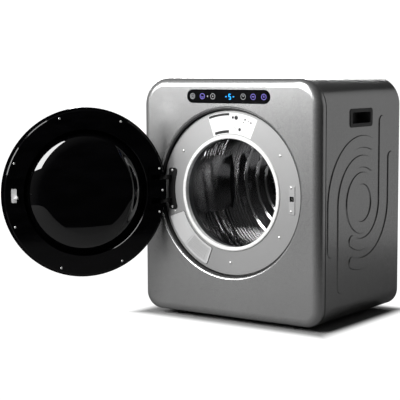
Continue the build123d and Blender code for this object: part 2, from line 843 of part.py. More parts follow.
def door_inner_ring():
    """Gloss black inner ring with a skirt to the bezel, a collar for the bowl and hinge pockets."""
    r, face, wall = inner_ring_radius, inner_face_depth, inner_ring_wall
    lap = door_radius - door_wall - 0.2
    ring = turned(profile(
        (bowl_rim_radius, face, -1.5), (r, face, -2.2), (r, door_back + 2.4), (lap, door_back + 2.4),
        (lap, door_back - 4), (r - 3, door_back - 4), (r - 3, face - wall),
        (bowl_rim_radius + 10, face - wall), (bowl_rim_radius + 10, face - wall - 6),
        (bowl_rim_radius + 7, face - wall - 6), (bowl_rim_radius + 7, face - 2.6),
        (bowl_rim_radius, face - 2.6)))
    pad = slab(Rectangle(28, 62), face - wall, face + 0.55, latch_x + 4, axis_z - 2)
    middle = axis_z + hinge_middle
    recess = Rectangle(hinge_recess_inner - hinge_recess_outer, hinge_base_height + 8)
    recess = slab(recess, face - 2.5, face + 1, (hinge_recess_inner + hinge_recess_outer) / 2, middle)
    ring = ring + pad - recess
    slot = Rectangle(54, arm_height + 2 * arm_clearance)
    for side in (-1, 1):
        ring = ring - slab(slot, -20, face + 1, hinge_x + 9, middle + side * arm_offset)
    barrel = Rectangle(2 * knuckle_radius + 3, pin_length + 3)
    ring = ring - slab(barrel, -20, hinge_depth + knuckle_radius + 1, hinge_x, middle)
    holes = [polar_place(door_screw_circle, a) for a in door_screw_places()]
    return ring - screw_holes(holes, door_screw_head, face - wall - 1, face + 1)


def door_bowl():
    """Concave glass bowl behind the window."""
    face = inner_face_depth
    rim, floor, wall = bowl_rim_radius, bowl_floor_radius, bowl_wall
    low = face - 2.8 - bowl_depth
    return turned(profile(
        (0, low), (floor, low, 14), (rim - 2, face - 2.8, -3), (rim + 6.8, face - 2.8),
        (rim + 6.8, face - 2.8 - wall), (rim, face - 2.8 - wall), (floor + 3.5, low - wall, -9),
        (0, low - wall)))


def striker():
    """Striker plate with the hook that enters the latch hole."""
    base = inner_face_depth + 0.6
    middle = axis_z + latch_height + 4.5
    plate = slab(RectangleRounded(15, 39, 2.5), base, base + 1.8, latch_x + 5, middle)
    hook = slab(Rectangle(hook_width, hook_height), base + 1, base + hook_length, latch_x,
                axis_z + latch_height)
    hook = chamfer(hook.faces().sort_by(Axis.Y)[-1].edges(), 1.5)
    web = slab(Rectangle(8, hook_height), base + 1, base + 4, latch_x + 2, axis_z + latch_height)
    return plate + web + hook


def door_screw_places():
    """Angles of the nine inner ring screws."""
    return [door_screw_step * (i + 0.5) for i in range(-4, 4)] + [180]


def door_screws():
    """Screws that hold the inner ring to the bezel."""
    places = [polar_place(door_screw_circle, a) for a in door_screw_places()]
    planes = [Plane(origin=(x, front_y + inner_face_depth, z), x_dir=(1, 0, 0), z_dir=(0, 1, 0))
              for x, z in places]
    return [plane * screw(door_screw_head, 7) for plane in planes]


def hinge_base():
    """Plate screwed to the well ring, with two swan-neck arms that end in knuckles."""
    middle = (hinge_base_outer + hinge_base_inner) / 2
    width = hinge_base_inner - hinge_base_outer
    start, end = well_face_depth - hinge_base_wall, well_face_depth - 0.05
    plate = Pos(middle, 0) * RectangleRounded(width, hinge_base_height, 8)
    waist = Pos(hinge_base_inner + 152, 0) * Circle(160)
    solid = slab(plate - waist, start, end, z=axis_z + hinge_middle)
    for side in (-1, 1):
        solid = solid + hinge_arm(hinge_middle + side * arm_offset)
    return solid - screw_holes(hinge_screw_places(), hinge_screw_head, start - 1, end + 1)


def hinge_arm(offset):
    """Swan-neck arm from the hinge base to the pin, curved to clear the door's edge."""
    foot_x_near, foot_x_far = hinge_base_outer + 5, hinge_base_outer + 5 + arm_wall
    axis, rise = (hinge_x, hinge_depth), hinge_depth
    half = arm_wall / 2
    leg = make_face(Polyline(
        (axis[0], rise - half), (foot_x_far, rise - half), (foot_x_far, well_face_depth - 1),
        (foot_x_near, well_face_depth - 1), (foot_x_near, rise + half), (axis[0], rise + half),
        close=True))
    corner = leg.vertices().sort_by_distance((foot_x_far, rise - half))[0]
    leg = fillet(corner, 4)
    knuckle = Pos(*axis) * Circle(knuckle_radius)
    bore = Pos(*axis) * Circle(pin_radius + running_clearance)
    plane = Plane(origin=(0, front_y, axis_z + offset - arm_height / 2), x_dir=(1, 0, 0),
                  z_dir=(0, 0, 1))
    return extrude(plane * (leg + knuckle - bore), arm_height)


def hinge_leaf():
    """Door half of the hinge: a knuckle between the arms on a plate inside the door."""
    half = arm_offset - arm_height / 2 - 0.4
    plane = Plane(origin=(0, front_y, axis_z + hinge_middle - half), x_dir=(1, 0, 0), z_dir=(0, 0, 1))
    knuckle = Pos(hinge_x, hinge_depth) * Circle(knuckle_radius)
    tail = Pos(hinge_x + 11, hinge_depth - knuckle_radius + 1.5) * Rectangle(24, 3)
    bore = Pos(hinge_x, hinge_depth) * Circle(pin_radius)
    return extrude(plane * (knuckle + tail - bore), 2 * half)


def hinge_pin():
    """Pin fixed in the leaf, on which the door turns in the arms."""
    pin = Pos(hinge_x, front_y + hinge_depth, axis_z + hinge_middle) * Cylinder(pin_radius - 0.01, pin_length)
    return chamfer(pin.edges(), 0.6)


def swung(shape):
    """Door piece turned from closed to the resting open position."""
    place = Pos(hinge_x, front_y + hinge_depth, 0)
    return place * Rot(0, 0, -door_open_angle) * place.inverse() * shape


# Drum

def drum_line(offset):
    """Points along the drum wall from front to back, with its pressed beads."""
    r, half = drum_radius - offset, bead_width / 2
    points = [(r, drum_front)]
    for d in bead_depths:
        points += [(r, d - half), (r + bead_height, d), (r, d + half)]
    return points + [(r, drum_back)]


def drum_shell():
    """Steel drum wall with circumferential beads."""
    return turned(profile(*drum_line(0), *reversed(drum_line(drum_wall))))


def rear_line(offset):
    """Points along the rear wall from its hub to its rim, with a dished middle and pressed beads."""
    face, dish, half = rear_wall_depth + offset, rear_wall_depth - rear_dish_depth + offset, bead_width / 2
    points = [(shaft_radius + 0.05, dish), (rear_hub_radius, dish), (rear_dish_radius, face)]
    for r in rear_bead_radii:
        points += [(r - half, face), (r, face - bead_height), (r + half, face)]
    return points + [(drum_radius - drum_wall - 0.05, face)]


def drum_rear_wall():
    """Dished and beaded rear wall with a ring of air holes, spigoted into the shell."""
    wall = turned(profile(*rear_line(0), *reversed(rear_line(drum_wall))))
    holes = [Pos(*polar(air_hole_circle, 360 * i / air_hole_count)) * Circle(air_hole_radius)
             for i in range(air_hole_count)]
    return wall - slab(Sketch() + holes, rear_wall_depth - 4, rear_wall_depth + 4)


def lifter_block(inset):
    """Low arched block on the drum wall at +X, with sloped ends, set in from the lifter's outside."""
    inside = drum_radius - drum_wall - 0.1 - inset
    half = lifter_base / 2
    chord = math.sqrt(inside ** 2 - half ** 2)
    rise = chord - (inside - lifter_height)
    arch = (half ** 2 + rise ** 2) / (2 * rise)
    section = Circle(inside) & Pos(inside - lifter_height + arch) * Circle(arch)
    start, end = lifter_front + inset, lifter_front + lifter_length - inset
    low, high = inside - lifter_height - 5, inside + 5
    side = make_face(Polyline((low, start + lifter_end_slope), (low, end - lifter_end_slope),
                              (high, end), (high, start), close=True))
    plane = Plane(origin=(0, front_y, axis_z - half - 10), x_dir=(1, 0, 0), z_dir=(0, 0, 1))
    return slab(section, start, end) & extrude(plane * side, 2 * half + 20)


def drum_lifters():
    """Three broad hollow lifters fixed inside the drum wall."""
    lifter = lifter_block(0) - lifter_block(lifter_wall)
    turns = [lifter_angle + 360 * i / lifter_count for i in range(lifter_count)]
    return [lifter.rotate(porthole_axis, -a) for a in turns]


def drum_shaft():
    """Shaft with a flanged hub bolted to the drum's rear wall."""
    face = rear_wall_depth - rear_dish_depth + drum_wall
    return turned(profile((0, face - 6), (shaft_radius, face - 6), (shaft_radius, face + 0.1),
                          (hub_radius, face + 0.1), (hub_radius, face + 3), (shaft_radius, face + 8),
                          (shaft_radius, cabinet_depth - 10, -1.0), (0, cabinet_depth - 10)))


def bearing_housing():
    """Spider on the rear panel that holds the bush."""
    start, end = cabinet_depth - 34, cabinet_depth - 3.05
    outer = shaft_radius + bush_wall + 7
    body = turned(profile((shaft_radius + bush_wall + 0.01, start), (outer, start, -2), (outer, end - 3),
                          (spider_radius, end - 3), (spider_radius, end),
                          (shaft_radius + bush_wall + 0.01, end)))
    webs = [slab(Rot(0, 0, 60 * i) * Pos(43, 0) * Rectangle(spider_web, 4), start + 8, end - 2)
            for i in range(6)]
    return body + webs


def bearing_bush():
    """Sintered bush round the drum shaft."""
    start, end = cabinet_depth - 33, cabinet_depth - 12
    inner, outer = shaft_radius + running_clearance, shaft_radius + bush_wall
    return turned(profile((inner, start), (outer, start), (outer, end), (inner, end)))


def drum_belt():
    """Flat belt round the drum and the motor pulley."""
    start, end = belt_depth - belt_width / 2, belt_depth + belt_width / 2
    drum = Circle(drum_radius + 0.3)
    pulley = Pos(motor_x, motor_z - axis_z) * Circle(pulley_radius + 0.3)
    inner = make_hull(drum.edges() + pulley.edges())
    drum_out = Circle(drum_radius + 0.3 + belt_thickness)
    pulley_out = Pos(motor_x, motor_z - axis_z) * Circle(pulley_radius + 0.3 + belt_thickness)
    outer = make_hull(drum_out.edges() + pulley_out.edges())
    return slab(outer - inner, start, end)


# Motor, fan and air path

def motor_body():
    """Motor case with end bells, ribs and a terminal block."""
    start, end = motor_front, motor_front + motor_length
    case = turned(profile((rotor_radius + 1, start), (24, start), (motor_radius - 8, start + 8),
                          (motor_radius, start + 14), (motor_radius, end - 14),
                          (motor_radius - 8, end - 8), (24, end), (rotor_radius + 1, end)),
                  motor_x, motor_z)
    box = slab(Rectangle(30, 18), start + 30, end - 30, motor_x, motor_z + motor_radius + 6)
    return case + box


def motor_bracket():
    """Two saddles and a foot plate that carry the motor on the base pan."""
    base, half, gauge = pan_floor - motor_z, motor_radius + 6, 3.0
    outline = Polyline((-half, base), (half, base), (motor_radius + 4, 0), (-motor_radius - 4, 0),
                       close=True)
    saddle = make_face(outline) - Circle(motor_radius + 0.2)
    saddles = [slab(saddle, d, d + gauge, motor_x, motor_z) for d in motor_saddle_depths]
    plate = slab(Pos(0, base + gauge / 2) * Rectangle(2 * half, gauge), motor_saddle_depths[0] - 8,
                 motor_saddle_depths[1] + 12, motor_x, motor_z)
    return plate + saddles


def motor_shaft():
    """Rotor shaft through the motor, from the blower to the pulley."""
    return chamfer(rod(rotor_radius, rotor_front, rotor_back, motor_x, motor_z).edges(), 0.8)


def motor_pulley():
    """Small belt pulley with flanges."""
    start, end = belt_depth - 9, belt_depth + 9
    half = belt_width / 2 + 0.6
    return turned(profile(
        (rotor_radius + 0.01, start), (pulley_radius + 5, start), (pulley_radius + 5, belt_depth - half - 1),
        (pulley_radius, belt_depth - half), (pulley_radius, belt_depth + half),
        (pulley_radius + 5, belt_depth + half + 1), (pulley_radius + 5, end),
        (rotor_radius + 0.01, end)), motor_x, motor_z)


def blower_wheel():
    """Centrifugal wheel with a dished back and curved blades."""
    start, end = fan_front + 6, fan_front + fan_depth - 8
    back = turned(profile((rotor_radius + 0.01, end - 16), (14, end - 16), (16, end - 3),
                          (fan_radius, end - 3), (fan_radius, end), (rotor_radius + 0.01, end)),
                  motor_x, motor_z)
    blade = Pos(fan_radius - 8, 0) * Rot(0, 0, 35) * Rectangle(15, 1.6)
    blades = [slab(Rot(0, 0, 360 * i / blade_count) * blade, start, end - 2.5, motor_x, motor_z)
              for i in range(blade_count)]
    ring = slab(Circle(fan_radius) - Circle(fan_radius - 3), start, start + 3, motor_x, motor_z)
    return back + blades + ring


def fan_outline(inset):
    """Scroll outline of the fan housing with its outlet towards +X."""
    scroll = Circle(fan_radius + 10 - inset)
    low = fan_outlet_low - motor_z + inset
    high = fan_outlet_high - motor_z - inset
    outlet = Pos(40, (low + high) / 2) * Rectangle(80, high - low)
    return scroll + outlet


def fan_housing():
    """Scroll housing with a round inlet in front and a square outlet."""
    start, end = fan_front, fan_front + fan_depth
    wall = exhaust_wall
    solid = slab(fan_outline(0), start, end, motor_x, motor_z)
    hollow = slab(fan_outline(wall), start + wall, end - wall, motor_x, motor_z)
    middle, height = (fan_outlet_low + fan_outlet_high) / 2, fan_outlet_high - fan_outlet_low
    mouth = slab(Pos(70, middle - motor_z) * Rectangle(40, height - 2 * wall), start + wall, end - wall,
                 motor_x, motor_z)
    inlet = rod(fan_inlet_radius, start - 1, start + wall + 1, motor_x, motor_z)
    back = rod(rotor_radius + 2, end - wall - 1, end + 1, motor_x, motor_z)
    collar = slab(Circle(fan_inlet_radius + 2) - Circle(fan_inlet_radius), bulkhead_depth, start + 0.5,
                  motor_x, motor_z)
    return solid - hollow - mouth - inlet - back + collar


def air_duct():
    """Flat duct from the lint filter down to the fan inlet."""
    start, end, wall = 27.0, bulkhead_depth - 0.05, 1.8
    mouth = sector(filter_inner - 3, filter_outer + 3, filter_start - 2, filter_end + 2)
    inlet = Pos(motor_x, motor_z - axis_z) * Circle(44)
    outline = make_hull(mouth.edges() + inlet.edges()) - Circle(filter_inner - 3)
    inner = offset(outline, amount=-wall)
    solid = slab(outline, start, end) - slab(inner, start + wall, end - wall)
    opening = sector(filter_inner + 3, filter_outer - 3, filter_start + 1, filter_end - 1)
    solid = solid - slab(opening, start - 1, end + 1)
    return solid - rod(fan_inlet_radius, end - wall - 1, end + 1, motor_x, motor_z)


def duct_path():
    """Route of the exhaust duct in X and depth, from the fan outlet to the back."""
    middle = fan_front + fan_depth / 2
    return FilletPolyline((motor_x + 80.1, middle), (exhaust_x, middle), (exhaust_x, cabinet_depth - 50),
                          radius=exhaust_bend)


def exhaust_duct():
    """Square duct that bends to the back and opens into a round end."""
    middle_z = (fan_outlet_low + fan_outlet_high) / 2
    plan = Plane(origin=(0, front_y, middle_z), x_dir=(1, 0, 0), z_dir=(0, 0, 1))
    path = plan * duct_path()
    side, height = fan_depth, fan_outlet_high - fan_outlet_low
    start = Plane(origin=path @ 0, z_dir=path % 0, x_dir=(0, 1, 0))
    tube = sweep(start * Rectangle(side, height), path=path) - sweep(
        start * Rectangle(side - 2 * exhaust_wall, height - 2 * exhaust_wall), path=path)
    near = facing(cabinet_depth - 50.05, exhaust_x, middle_z)
    far = facing(cabinet_depth - 4.5, exhaust_x, exhaust_z)
    radius = spigot_pipe_radius - 4
    outer = loft([(near * Rectangle(side, height)).face(), (far * Circle(radius)).face()])
    inner = loft([(near * Rectangle(side - 2 * exhaust_wall, height - 2 * exhaust_wall)).face(),
                  (far * Circle(radius - exhaust_wall)).face()])
    return tube + (outer - inner)


def exhaust_spigot():
    """Round outlet pipe that a vent hose slides over."""
    start, end = cabinet_depth - 4, cabinet_depth + spigot_pipe_length
    r, wall = spigot_pipe_radius, 2.0
    face = cabinet_depth - 3.0 + sheet_wall + 0.05
    return turned(profile((r - wall, start), (r, start), (r, face), (r + 7, face), (r + 7, face + 2),
                          (r, face + 2), (r, end), (r - wall, end)), exhaust_x, exhaust_z)


def heater_duct():
    """Shallow round air box between the drum's rear wall and the back."""
    start, end, wall = drum_back + air_box_gap, cabinet_depth - air_box_back, air_box_wall
    inner, outer = air_box_inner, air_box_outer
    box = turned(profile((inner, start), (inner + wall, start), (inner + wall, end - wall),
                         (outer - wall, end - wall), (outer - wall, start), (outer, start),
                         (outer, end), (inner, end)))
    posts = [Pos(*polar(air_box_post_circle, a)) * Circle(5) for a in (30, 150, 270)]
    return box + slab(Sketch() + posts, end - 0.5, cabinet_depth - 8.05)


def heater_element():
    """Finned heater block inside the air box."""
    start = drum_back + 12
    middle, cut = axis_z + heater_rise, Rectangle(fin_gap, heater_height - 10)
    block = slab(Rectangle(heater_width, heater_height), start, start + 14, 0, middle)
    cuts = [slab(cut, start - 1, start + 11, fin_step * i, middle) for i in range(-4, 5)]
    return block - cuts


def thermostat():
    """Round cut-out thermostat on the air box."""
    start = cabinet_depth - air_box_back + 0.1
    return turned(profile((0, start), (12, start), (12, start + 3), (8, start + 3), (8, start + 8),
                          (0, start + 8)), thermostat_x, axis_z + thermostat_rise)


def cord_gland():
    """Bush in the rear panel where the supply cord enters."""
    start = cabinet_depth - 3.0
    r = cord_radius - 0.2
    return turned(profile((3.6, start - 6), (r + 2.5, start - 6), (r + 2.5, start - 0.1),
                          (r, start - 0.1), (r, start + sheet_wall + 0.1),
                          (r + 4, start + sheet_wall + 0.1), (r + 3, start + 5), (3.6, start + 5)),
                  cord_x, cord_z)


def roller_place():
    """Place of the tensioner roller, resting outside the lower run of the belt."""
    dx, dz = motor_x, motor_z - axis_z
    span = math.hypot(dx, dz)
    lean = math.asin((drum_radius - pulley_radius) / span)
    along = math.atan2(dz, dx)
    normal = along + math.pi / 2 - lean
    tangent_x = dx + (pulley_radius + 0.3 + belt_thickness) * math.cos(normal)
    tangent_z = dz + (pulley_radius + 0.3 + belt_thickness) * math.sin(normal)
    run = math.sqrt(span ** 2 - (drum_radius - pulley_radius) ** 2)
    end_x = (drum_radius + 0.3 + belt_thickness) * math.cos(normal)
    end_z = (drum_radius + 0.3 + belt_thickness) * math.sin(normal)
    share = idler_reach / run
    x = tangent_x + share * (end_x - tangent_x) + (roller_radius + 0.3) * math.cos(normal)
    z = tangent_z + share * (end_z - tangent_z) + (roller_radius + 0.3) * math.sin(normal)
    return x, axis_z + z


def idler_arm():
    """Tensioner arm from its pivot to the roller axle."""
    pivot, roller = (idler_pivot_x, idler_pivot_z), roller_place()
    start, end = belt_depth - 14, belt_depth - 10
    ends = (Pos(*pivot) * Circle(11)).edges() + (Pos(*roller) * Circle(8)).edges()
    bore = rod(idler_pin_radius + running_clearance, start - 1, end + 1, *pivot)
    axle = rod(idler_axle_radius, end - 0.5, belt_depth + 10, *roller)
    return slab(make_hull(ends), start, end, 0, 0) - bore + axle


def idler_roller():
    """Plastic roller that rides on the back of the belt."""
    start, end = belt_depth - roller_width / 2, belt_depth + roller_width / 2
    bore = idler_axle_radius + running_clearance
    return turned(profile((bore, start), (roller_radius, start, -1), (roller_radius, end, -1),
                          (bore, end)), *roller_place())


def idler_post():
    """Post on the base pan that the tensioner arm turns on."""
    pivot, drop = (idler_pivot_x, idler_pivot_z), idler_pivot_z - pan_floor
    start, end = belt_depth - 26, belt_depth - 15
    post = slab(Pos(0, -drop / 2) * Rectangle(26, drop) + Circle(13), start, end, *pivot)
    foot = slab(Pos(0, 1.5 - drop) * Rectangle(44, 3), start - 12, end, *pivot)
    return post + foot + rod(idler_pin_radius, end - 1, belt_depth - 5, *pivot)


# Fasteners

def well_screws():
    """Screws of the well ring, the hinge base and the latch plate."""
    face = well_face_depth
    groups = ((well_screw_places(), well_screw_head, face),
              (hinge_screw_places(), hinge_screw_head, face - hinge_base_wall),
              (latch_screw_places(), latch_screw_head, face - 1.6))
    return [facing(depth, x, z) * screw(head) for places, head, depth in groups for x, z in places]


def cabinet_screws():
    """Screws round the rear panel and in the seam at the bottom corners."""
    face = front_y + cabinet_depth - 3.0 + sheet_wall
    planes = [Plane(origin=(x, face, z), x_dir=(1, 0, 0), z_dir=(0, 1, 0))
              for x, z in cabinet_screw_places()]
    rear = [plane * screw(body_screw_head) for plane in planes]
    return rear + [seam_place(side) * screw(seam_screw_head, 6) for side in (-1, 1)]


os.makedirs("parts", exist_ok=True)

save("front_panel", front_panel())
save("front_frame", front_frame())
save("cabinet_wrapper", cabinet_wrapper())
right_cup = handle_cup()
save("handle_cup_right", right_cup)
save("handle_cup_left", mirrored(right_cup))
save("rear_panel", rear_panel())
save("base_pan", base_pan())
save("feet", *feet())
save("well_trim", well_trim())
save("well_ring", well_ring())
save("porthole_ring", porthole_ring())
save("front_bulkhead", front_bulkhead())
save("drum_felt", drum_felt())
save("latch_plate", latch_plate())
save("latch_housing", latch_housing())
save("latch_pawl", latch_pawl())
save("latch_spring", latch_spring())
save("door_switch", switch_body())
save("switch_plunger", switch_plunger())
save("filter_cover", filter_cover())
save("filter_mesh", filter_mesh())
save("control_lens", control_lens())
save("control_board", control_board())
save("power_board", power_board())
save("door_bezel", swung(door_bezel()))
save("door_window", swung(door_window()))
save("door_inner_ring", swung(door_inner_ring()))
save("door_bowl", swung(door_bowl()))
save("striker", swung(striker()))
save("door_screws", *[swung(s) for s in door_screws()])
save("hinge_leaf", swung(hinge_leaf()))
save("hinge_pin", swung(hinge_pin()))
save("hinge_base", hinge_base())
save("drum_shell", drum_shell())
save("drum_rear_wall", drum_rear_wall())
save("drum_lifters", *drum_lifters())
save("drum_shaft", drum_shaft())
save("bearing_housing", bearing_housing())
save("bearing_bush", bearing_bush())
save("drum_belt", drum_belt())
save("motor_body", motor_body())
save("motor_bracket", motor_bracket())
save("motor_shaft", motor_shaft())
save("motor_pulley", motor_pulley())
save("blower_wheel", blower_wheel())
save("fan_housing", fan_housing())
save("air_duct", air_duct())
save("exhaust_duct", exhaust_duct())
save("exhaust_spigot", exhaust_spigot())
save("heater_duct", heater_duct())
save("heater_element", heater_element())
save("thermostat", thermostat())
save("cord_gland", cord_gland())
save("idler_arm", idler_arm())
save("idler_roller", idler_roller())
save("idler_post", idler_post())
save("well_screws", *well_screws())
save("cabinet_screws", *cabinet_screws())
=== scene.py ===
"""Looks of a compact tumble dryer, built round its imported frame. Metres, Z up, front towards -Y."""

import json
import logging
import math
from dataclasses import dataclass, field
from enum import Enum
from typing import Callable, Sequence

import bmesh
import bpy
from mathutils import Matrix, Vector


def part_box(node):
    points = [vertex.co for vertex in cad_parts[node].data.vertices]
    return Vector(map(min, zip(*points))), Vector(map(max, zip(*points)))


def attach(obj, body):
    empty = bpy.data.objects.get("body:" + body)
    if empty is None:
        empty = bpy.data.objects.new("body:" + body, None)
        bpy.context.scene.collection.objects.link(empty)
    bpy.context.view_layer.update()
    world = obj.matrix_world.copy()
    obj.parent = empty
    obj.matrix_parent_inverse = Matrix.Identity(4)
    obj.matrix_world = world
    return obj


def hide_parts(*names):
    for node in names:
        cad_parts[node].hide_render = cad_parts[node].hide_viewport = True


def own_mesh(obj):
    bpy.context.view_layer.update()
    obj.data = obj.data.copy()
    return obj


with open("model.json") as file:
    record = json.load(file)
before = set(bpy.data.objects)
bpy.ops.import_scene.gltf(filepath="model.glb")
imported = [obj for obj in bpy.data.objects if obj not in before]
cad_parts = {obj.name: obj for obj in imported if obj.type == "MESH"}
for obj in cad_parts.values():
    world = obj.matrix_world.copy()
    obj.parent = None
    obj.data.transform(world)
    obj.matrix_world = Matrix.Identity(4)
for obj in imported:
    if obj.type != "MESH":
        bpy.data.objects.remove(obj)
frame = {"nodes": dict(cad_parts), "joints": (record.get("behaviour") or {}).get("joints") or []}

MM = 0.001
LOG = logging.getLogger("dryer")
Outline = Sequence[tuple[float, ...]]
Colour = tuple[float, float, float]
MERGE_DISTANCE = 0.002 * MM
SHORTEST_EDGE = 0.0001 * MM
FRONTWARD, BACKWARD = Vector((0, -1, 0)), Vector((0, 1, 0))


def grey(level: float) -> Colour:
    """Neutral colour of one level."""
    return (level, level, level)


class Texture(Enum):
    """How the surface of a finish varies."""

    FLAKE = "metallic lacquer"
    GRAIN = "moulded grain"
    POLISH = "polished with faint smears"
    BRUSHED = "straight brush lines"
    TURNED = "brush lines round the drum axis"
    FIBRE = "felt and woven mesh"


@dataclass(frozen=True)
class Datum:
    """Places that every sub-assembly is set out from, read from the frame."""

    front_y: float
    axis_x: float
    axis_z: float
    hinge_x: float
    hinge_y: float
    open_angle: float

    @classmethod
    def from_frame(cls) -> "Datum":
        """Read the porthole axis, the hinge axis and the door's open angle.

        Returns:
            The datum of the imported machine.
        """
        ring_low, ring_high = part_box("porthole_ring")
        pin_low, pin_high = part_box("hinge_pin")
        hinge = next(joint for joint in frame["joints"] if joint["name"] == "door_hinge")
        return cls(
            front_y=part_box("front_panel")[0].y,
            axis_x=(ring_low.x + ring_high.x) / 2,
            axis_z=(ring_low.z + ring_high.z) / 2,
            hinge_x=(pin_low.x + pin_high.x) / 2,
            hinge_y=(pin_low.y + pin_high.y) / 2,
            open_angle=math.radians(-hinge["range_deg"][0]),
        )

    def polar(self, radius: float, degrees: float, depth: float) -> Vector:
        """Point at a radius and angle about the porthole axis, at a depth behind the front face.

        Args:
            radius: Distance from the axis.
            degrees: Angle from +X towards +Z.
            depth: Distance behind the front face.

        Returns:
            The point in the frame.
        """
        angle = math.radians(degrees)
        return Vector((
            self.axis_x + radius * math.cos(angle),
            self.front_y + depth,
            self.axis_z + radius * math.sin(angle),
        ))

    def opened(self) -> Matrix:
        """Turn a piece from the closed door to the open door at rest.

        Returns:
            The matrix of that turn.
        """
        pin = Vector((self.hinge_x, self.hinge_y, 0))
        turn = Matrix.Rotation(-self.open_angle, 4, "Z")
        return Matrix.Translation(pin) @ turn @ Matrix.Translation(-pin)


DATUM = Datum.from_frame()


# Shader node groups


class ShaderSheet:
    """A node tree under construction, with short calls for adding and joining nodes."""

    def __init__(self, tree: bpy.types.NodeTree) -> None:
        """Start on an empty tree."""
        self.tree = tree
        self.tree.nodes.clear()

    def add(self, kind: str, **settings: object) -> bpy.types.Node:
        """Add a node.

        Args:
            kind: Blender's node type.
            **settings: Properties to set; a name that starts with "in_" sets that input's value.

        Returns:
            The node.
        """
        node = self.tree.nodes.new(kind)
        for name, value in settings.items():
            if name.startswith("in_"):
                node.inputs[name[3:].replace("_", " ")].default_value = value
            else:
                setattr(node, name, value)
        return node

    def join(self, source: bpy.types.NodeSocket, target: bpy.types.NodeSocket) -> None:
        """Link one socket to another."""
        self.tree.links.new(source, target)

    def maths(self, operation: str, *values: object) -> bpy.types.NodeSocket:
        """Add a Math node.

        Args:
            operation: What the node works out.
            *values: Sockets or plain numbers that feed it, in order.

        Returns:
            The result's socket.
        """
        node = self.tree.nodes.new("ShaderNodeMath")
        node.operation = operation
        for slot, value in zip(node.inputs, values):
            if isinstance(value, (int, float)):
                slot.default_value = value
            else:
                self.join(value, slot)
        return node.outputs[0]


def new_group(name: str, inputs: Sequence[tuple[str, str]], outputs: Sequence[tuple[str, str]]
              ) -> tuple[ShaderSheet, bpy.types.Node, bpy.types.Node]:
    """Start a shader node group.

    Args:
        name: Name of the group.
        inputs: Socket names with their types.
        outputs: Socket names with their types.

    Returns:
        The sheet to draw on, the group input node and the group output node.
    """
    tree = bpy.data.node_groups.new(name, "ShaderNodeTree")
    for socket_name, socket_type in inputs:
        tree.interface.new_socket(socket_name, in_out="INPUT", socket_type=socket_type)
    for socket_name, socket_type in outputs:
        tree.interface.new_socket(socket_name, in_out="OUTPUT", socket_type=socket_type)
    sheet = ShaderSheet(tree)
    return sheet, sheet.add("NodeGroupInput"), sheet.add("NodeGroupOutput")


FLOAT, COLOUR, VECTOR = "NodeSocketFloat", "NodeSocketColor", "NodeSocketVector"
SURFACE_INPUTS = (
    ("Light tone", COLOUR), ("Dark tone", COLOUR), ("Scale", FLOAT),
    ("Low roughness", FLOAT), ("High roughness", FLOAT), ("Height", FLOAT),
)
SURFACE_OUTPUTS = (("Colour", COLOUR), ("Roughness", FLOAT), ("Normal", VECTOR))
# Colour sockets of a Mix node
MIX_SHARE, MIX_FIRST, MIX_SECOND, MIX_RESULT = 0, 6, 7, 2


def close_surface(sheet: ShaderSheet, entry: bpy.types.Node, leave: bpy.types.Node,
                  mask: bpy.types.NodeSocket, relief: bpy.types.NodeSocket, distance: float) -> None:
    """Turn a mask and a relief into colour, roughness and normal.

    Args:
        sheet: Sheet being drawn on.
        entry: Group input node with the surface inputs.
        leave: Group output node with the surface outputs.
        mask: Value from 0 to 1 that mixes the tones and the roughness.
        relief: Height field for the bump.
        distance: Depth of the bump in metres.
    """
    tones = sheet.add("ShaderNodeMix", data_type="RGBA")
    sheet.join(mask, tones.inputs[MIX_SHARE])
    sheet.join(entry.outputs["Dark tone"], tones.inputs[MIX_FIRST])
    sheet.join(entry.outputs["Light tone"], tones.inputs[MIX_SECOND])
    spread = sheet.add("ShaderNodeMapRange")
    sheet.join(mask, spread.inputs["Value"])
    sheet.join(entry.outputs["Low roughness"], spread.inputs["To Min"])
    sheet.join(entry.outputs["High roughness"], spread.inputs["To Max"])
    bump = sheet.add("ShaderNodeBump", in_Distance=distance)
    sheet.join(entry.outputs["Height"], bump.inputs["Strength"])
    sheet.join(relief, bump.inputs["Height"])
    sheet.join(tones.outputs[MIX_RESULT], leave.inputs["Colour"])
    sheet.join(spread.outputs["Result"], leave.inputs["Roughness"])
    sheet.join(bump.outputs["Normal"], leave.inputs["Normal"])


def noise(sheet: ShaderSheet, place: bpy.types.NodeSocket, scale: object, detail: float = 3.0
          ) -> bpy.types.NodeSocket:
    """Add a noise texture.

    Args:
        sheet: Sheet being drawn on.
        place: Coordinates that the noise reads.
        scale: Its scale, as a number or a socket.
        detail: How many finer layers it has.

    Returns:
        The socket of its value.
    """
    node = sheet.add("ShaderNodeTexNoise", in_Detail=detail)
    sheet.join(place, node.inputs["Vector"])
    if isinstance(scale, (int, float)):
        node.inputs["Scale"].default_value = scale
    else:
        sheet.join(scale, node.inputs["Scale"])
    return node.outputs[0]


def blended(sheet: ShaderSheet, fine: bpy.types.NodeSocket, slow: bpy.types.NodeSocket, fine_share: float
            ) -> bpy.types.NodeSocket:
    """Add up a fine and a slow field by their shares.

    Args:
        sheet: Sheet being drawn on.
        fine: The fine field.
        slow: The slow field.
        fine_share: Share of the fine field; the slow one has the rest.

    Returns:
        The socket of the sum.
    """
    return sheet.maths("ADD", sheet.maths("MULTIPLY", fine, fine_share),
                       sheet.maths("MULTIPLY", slow, 1 - fine_share))


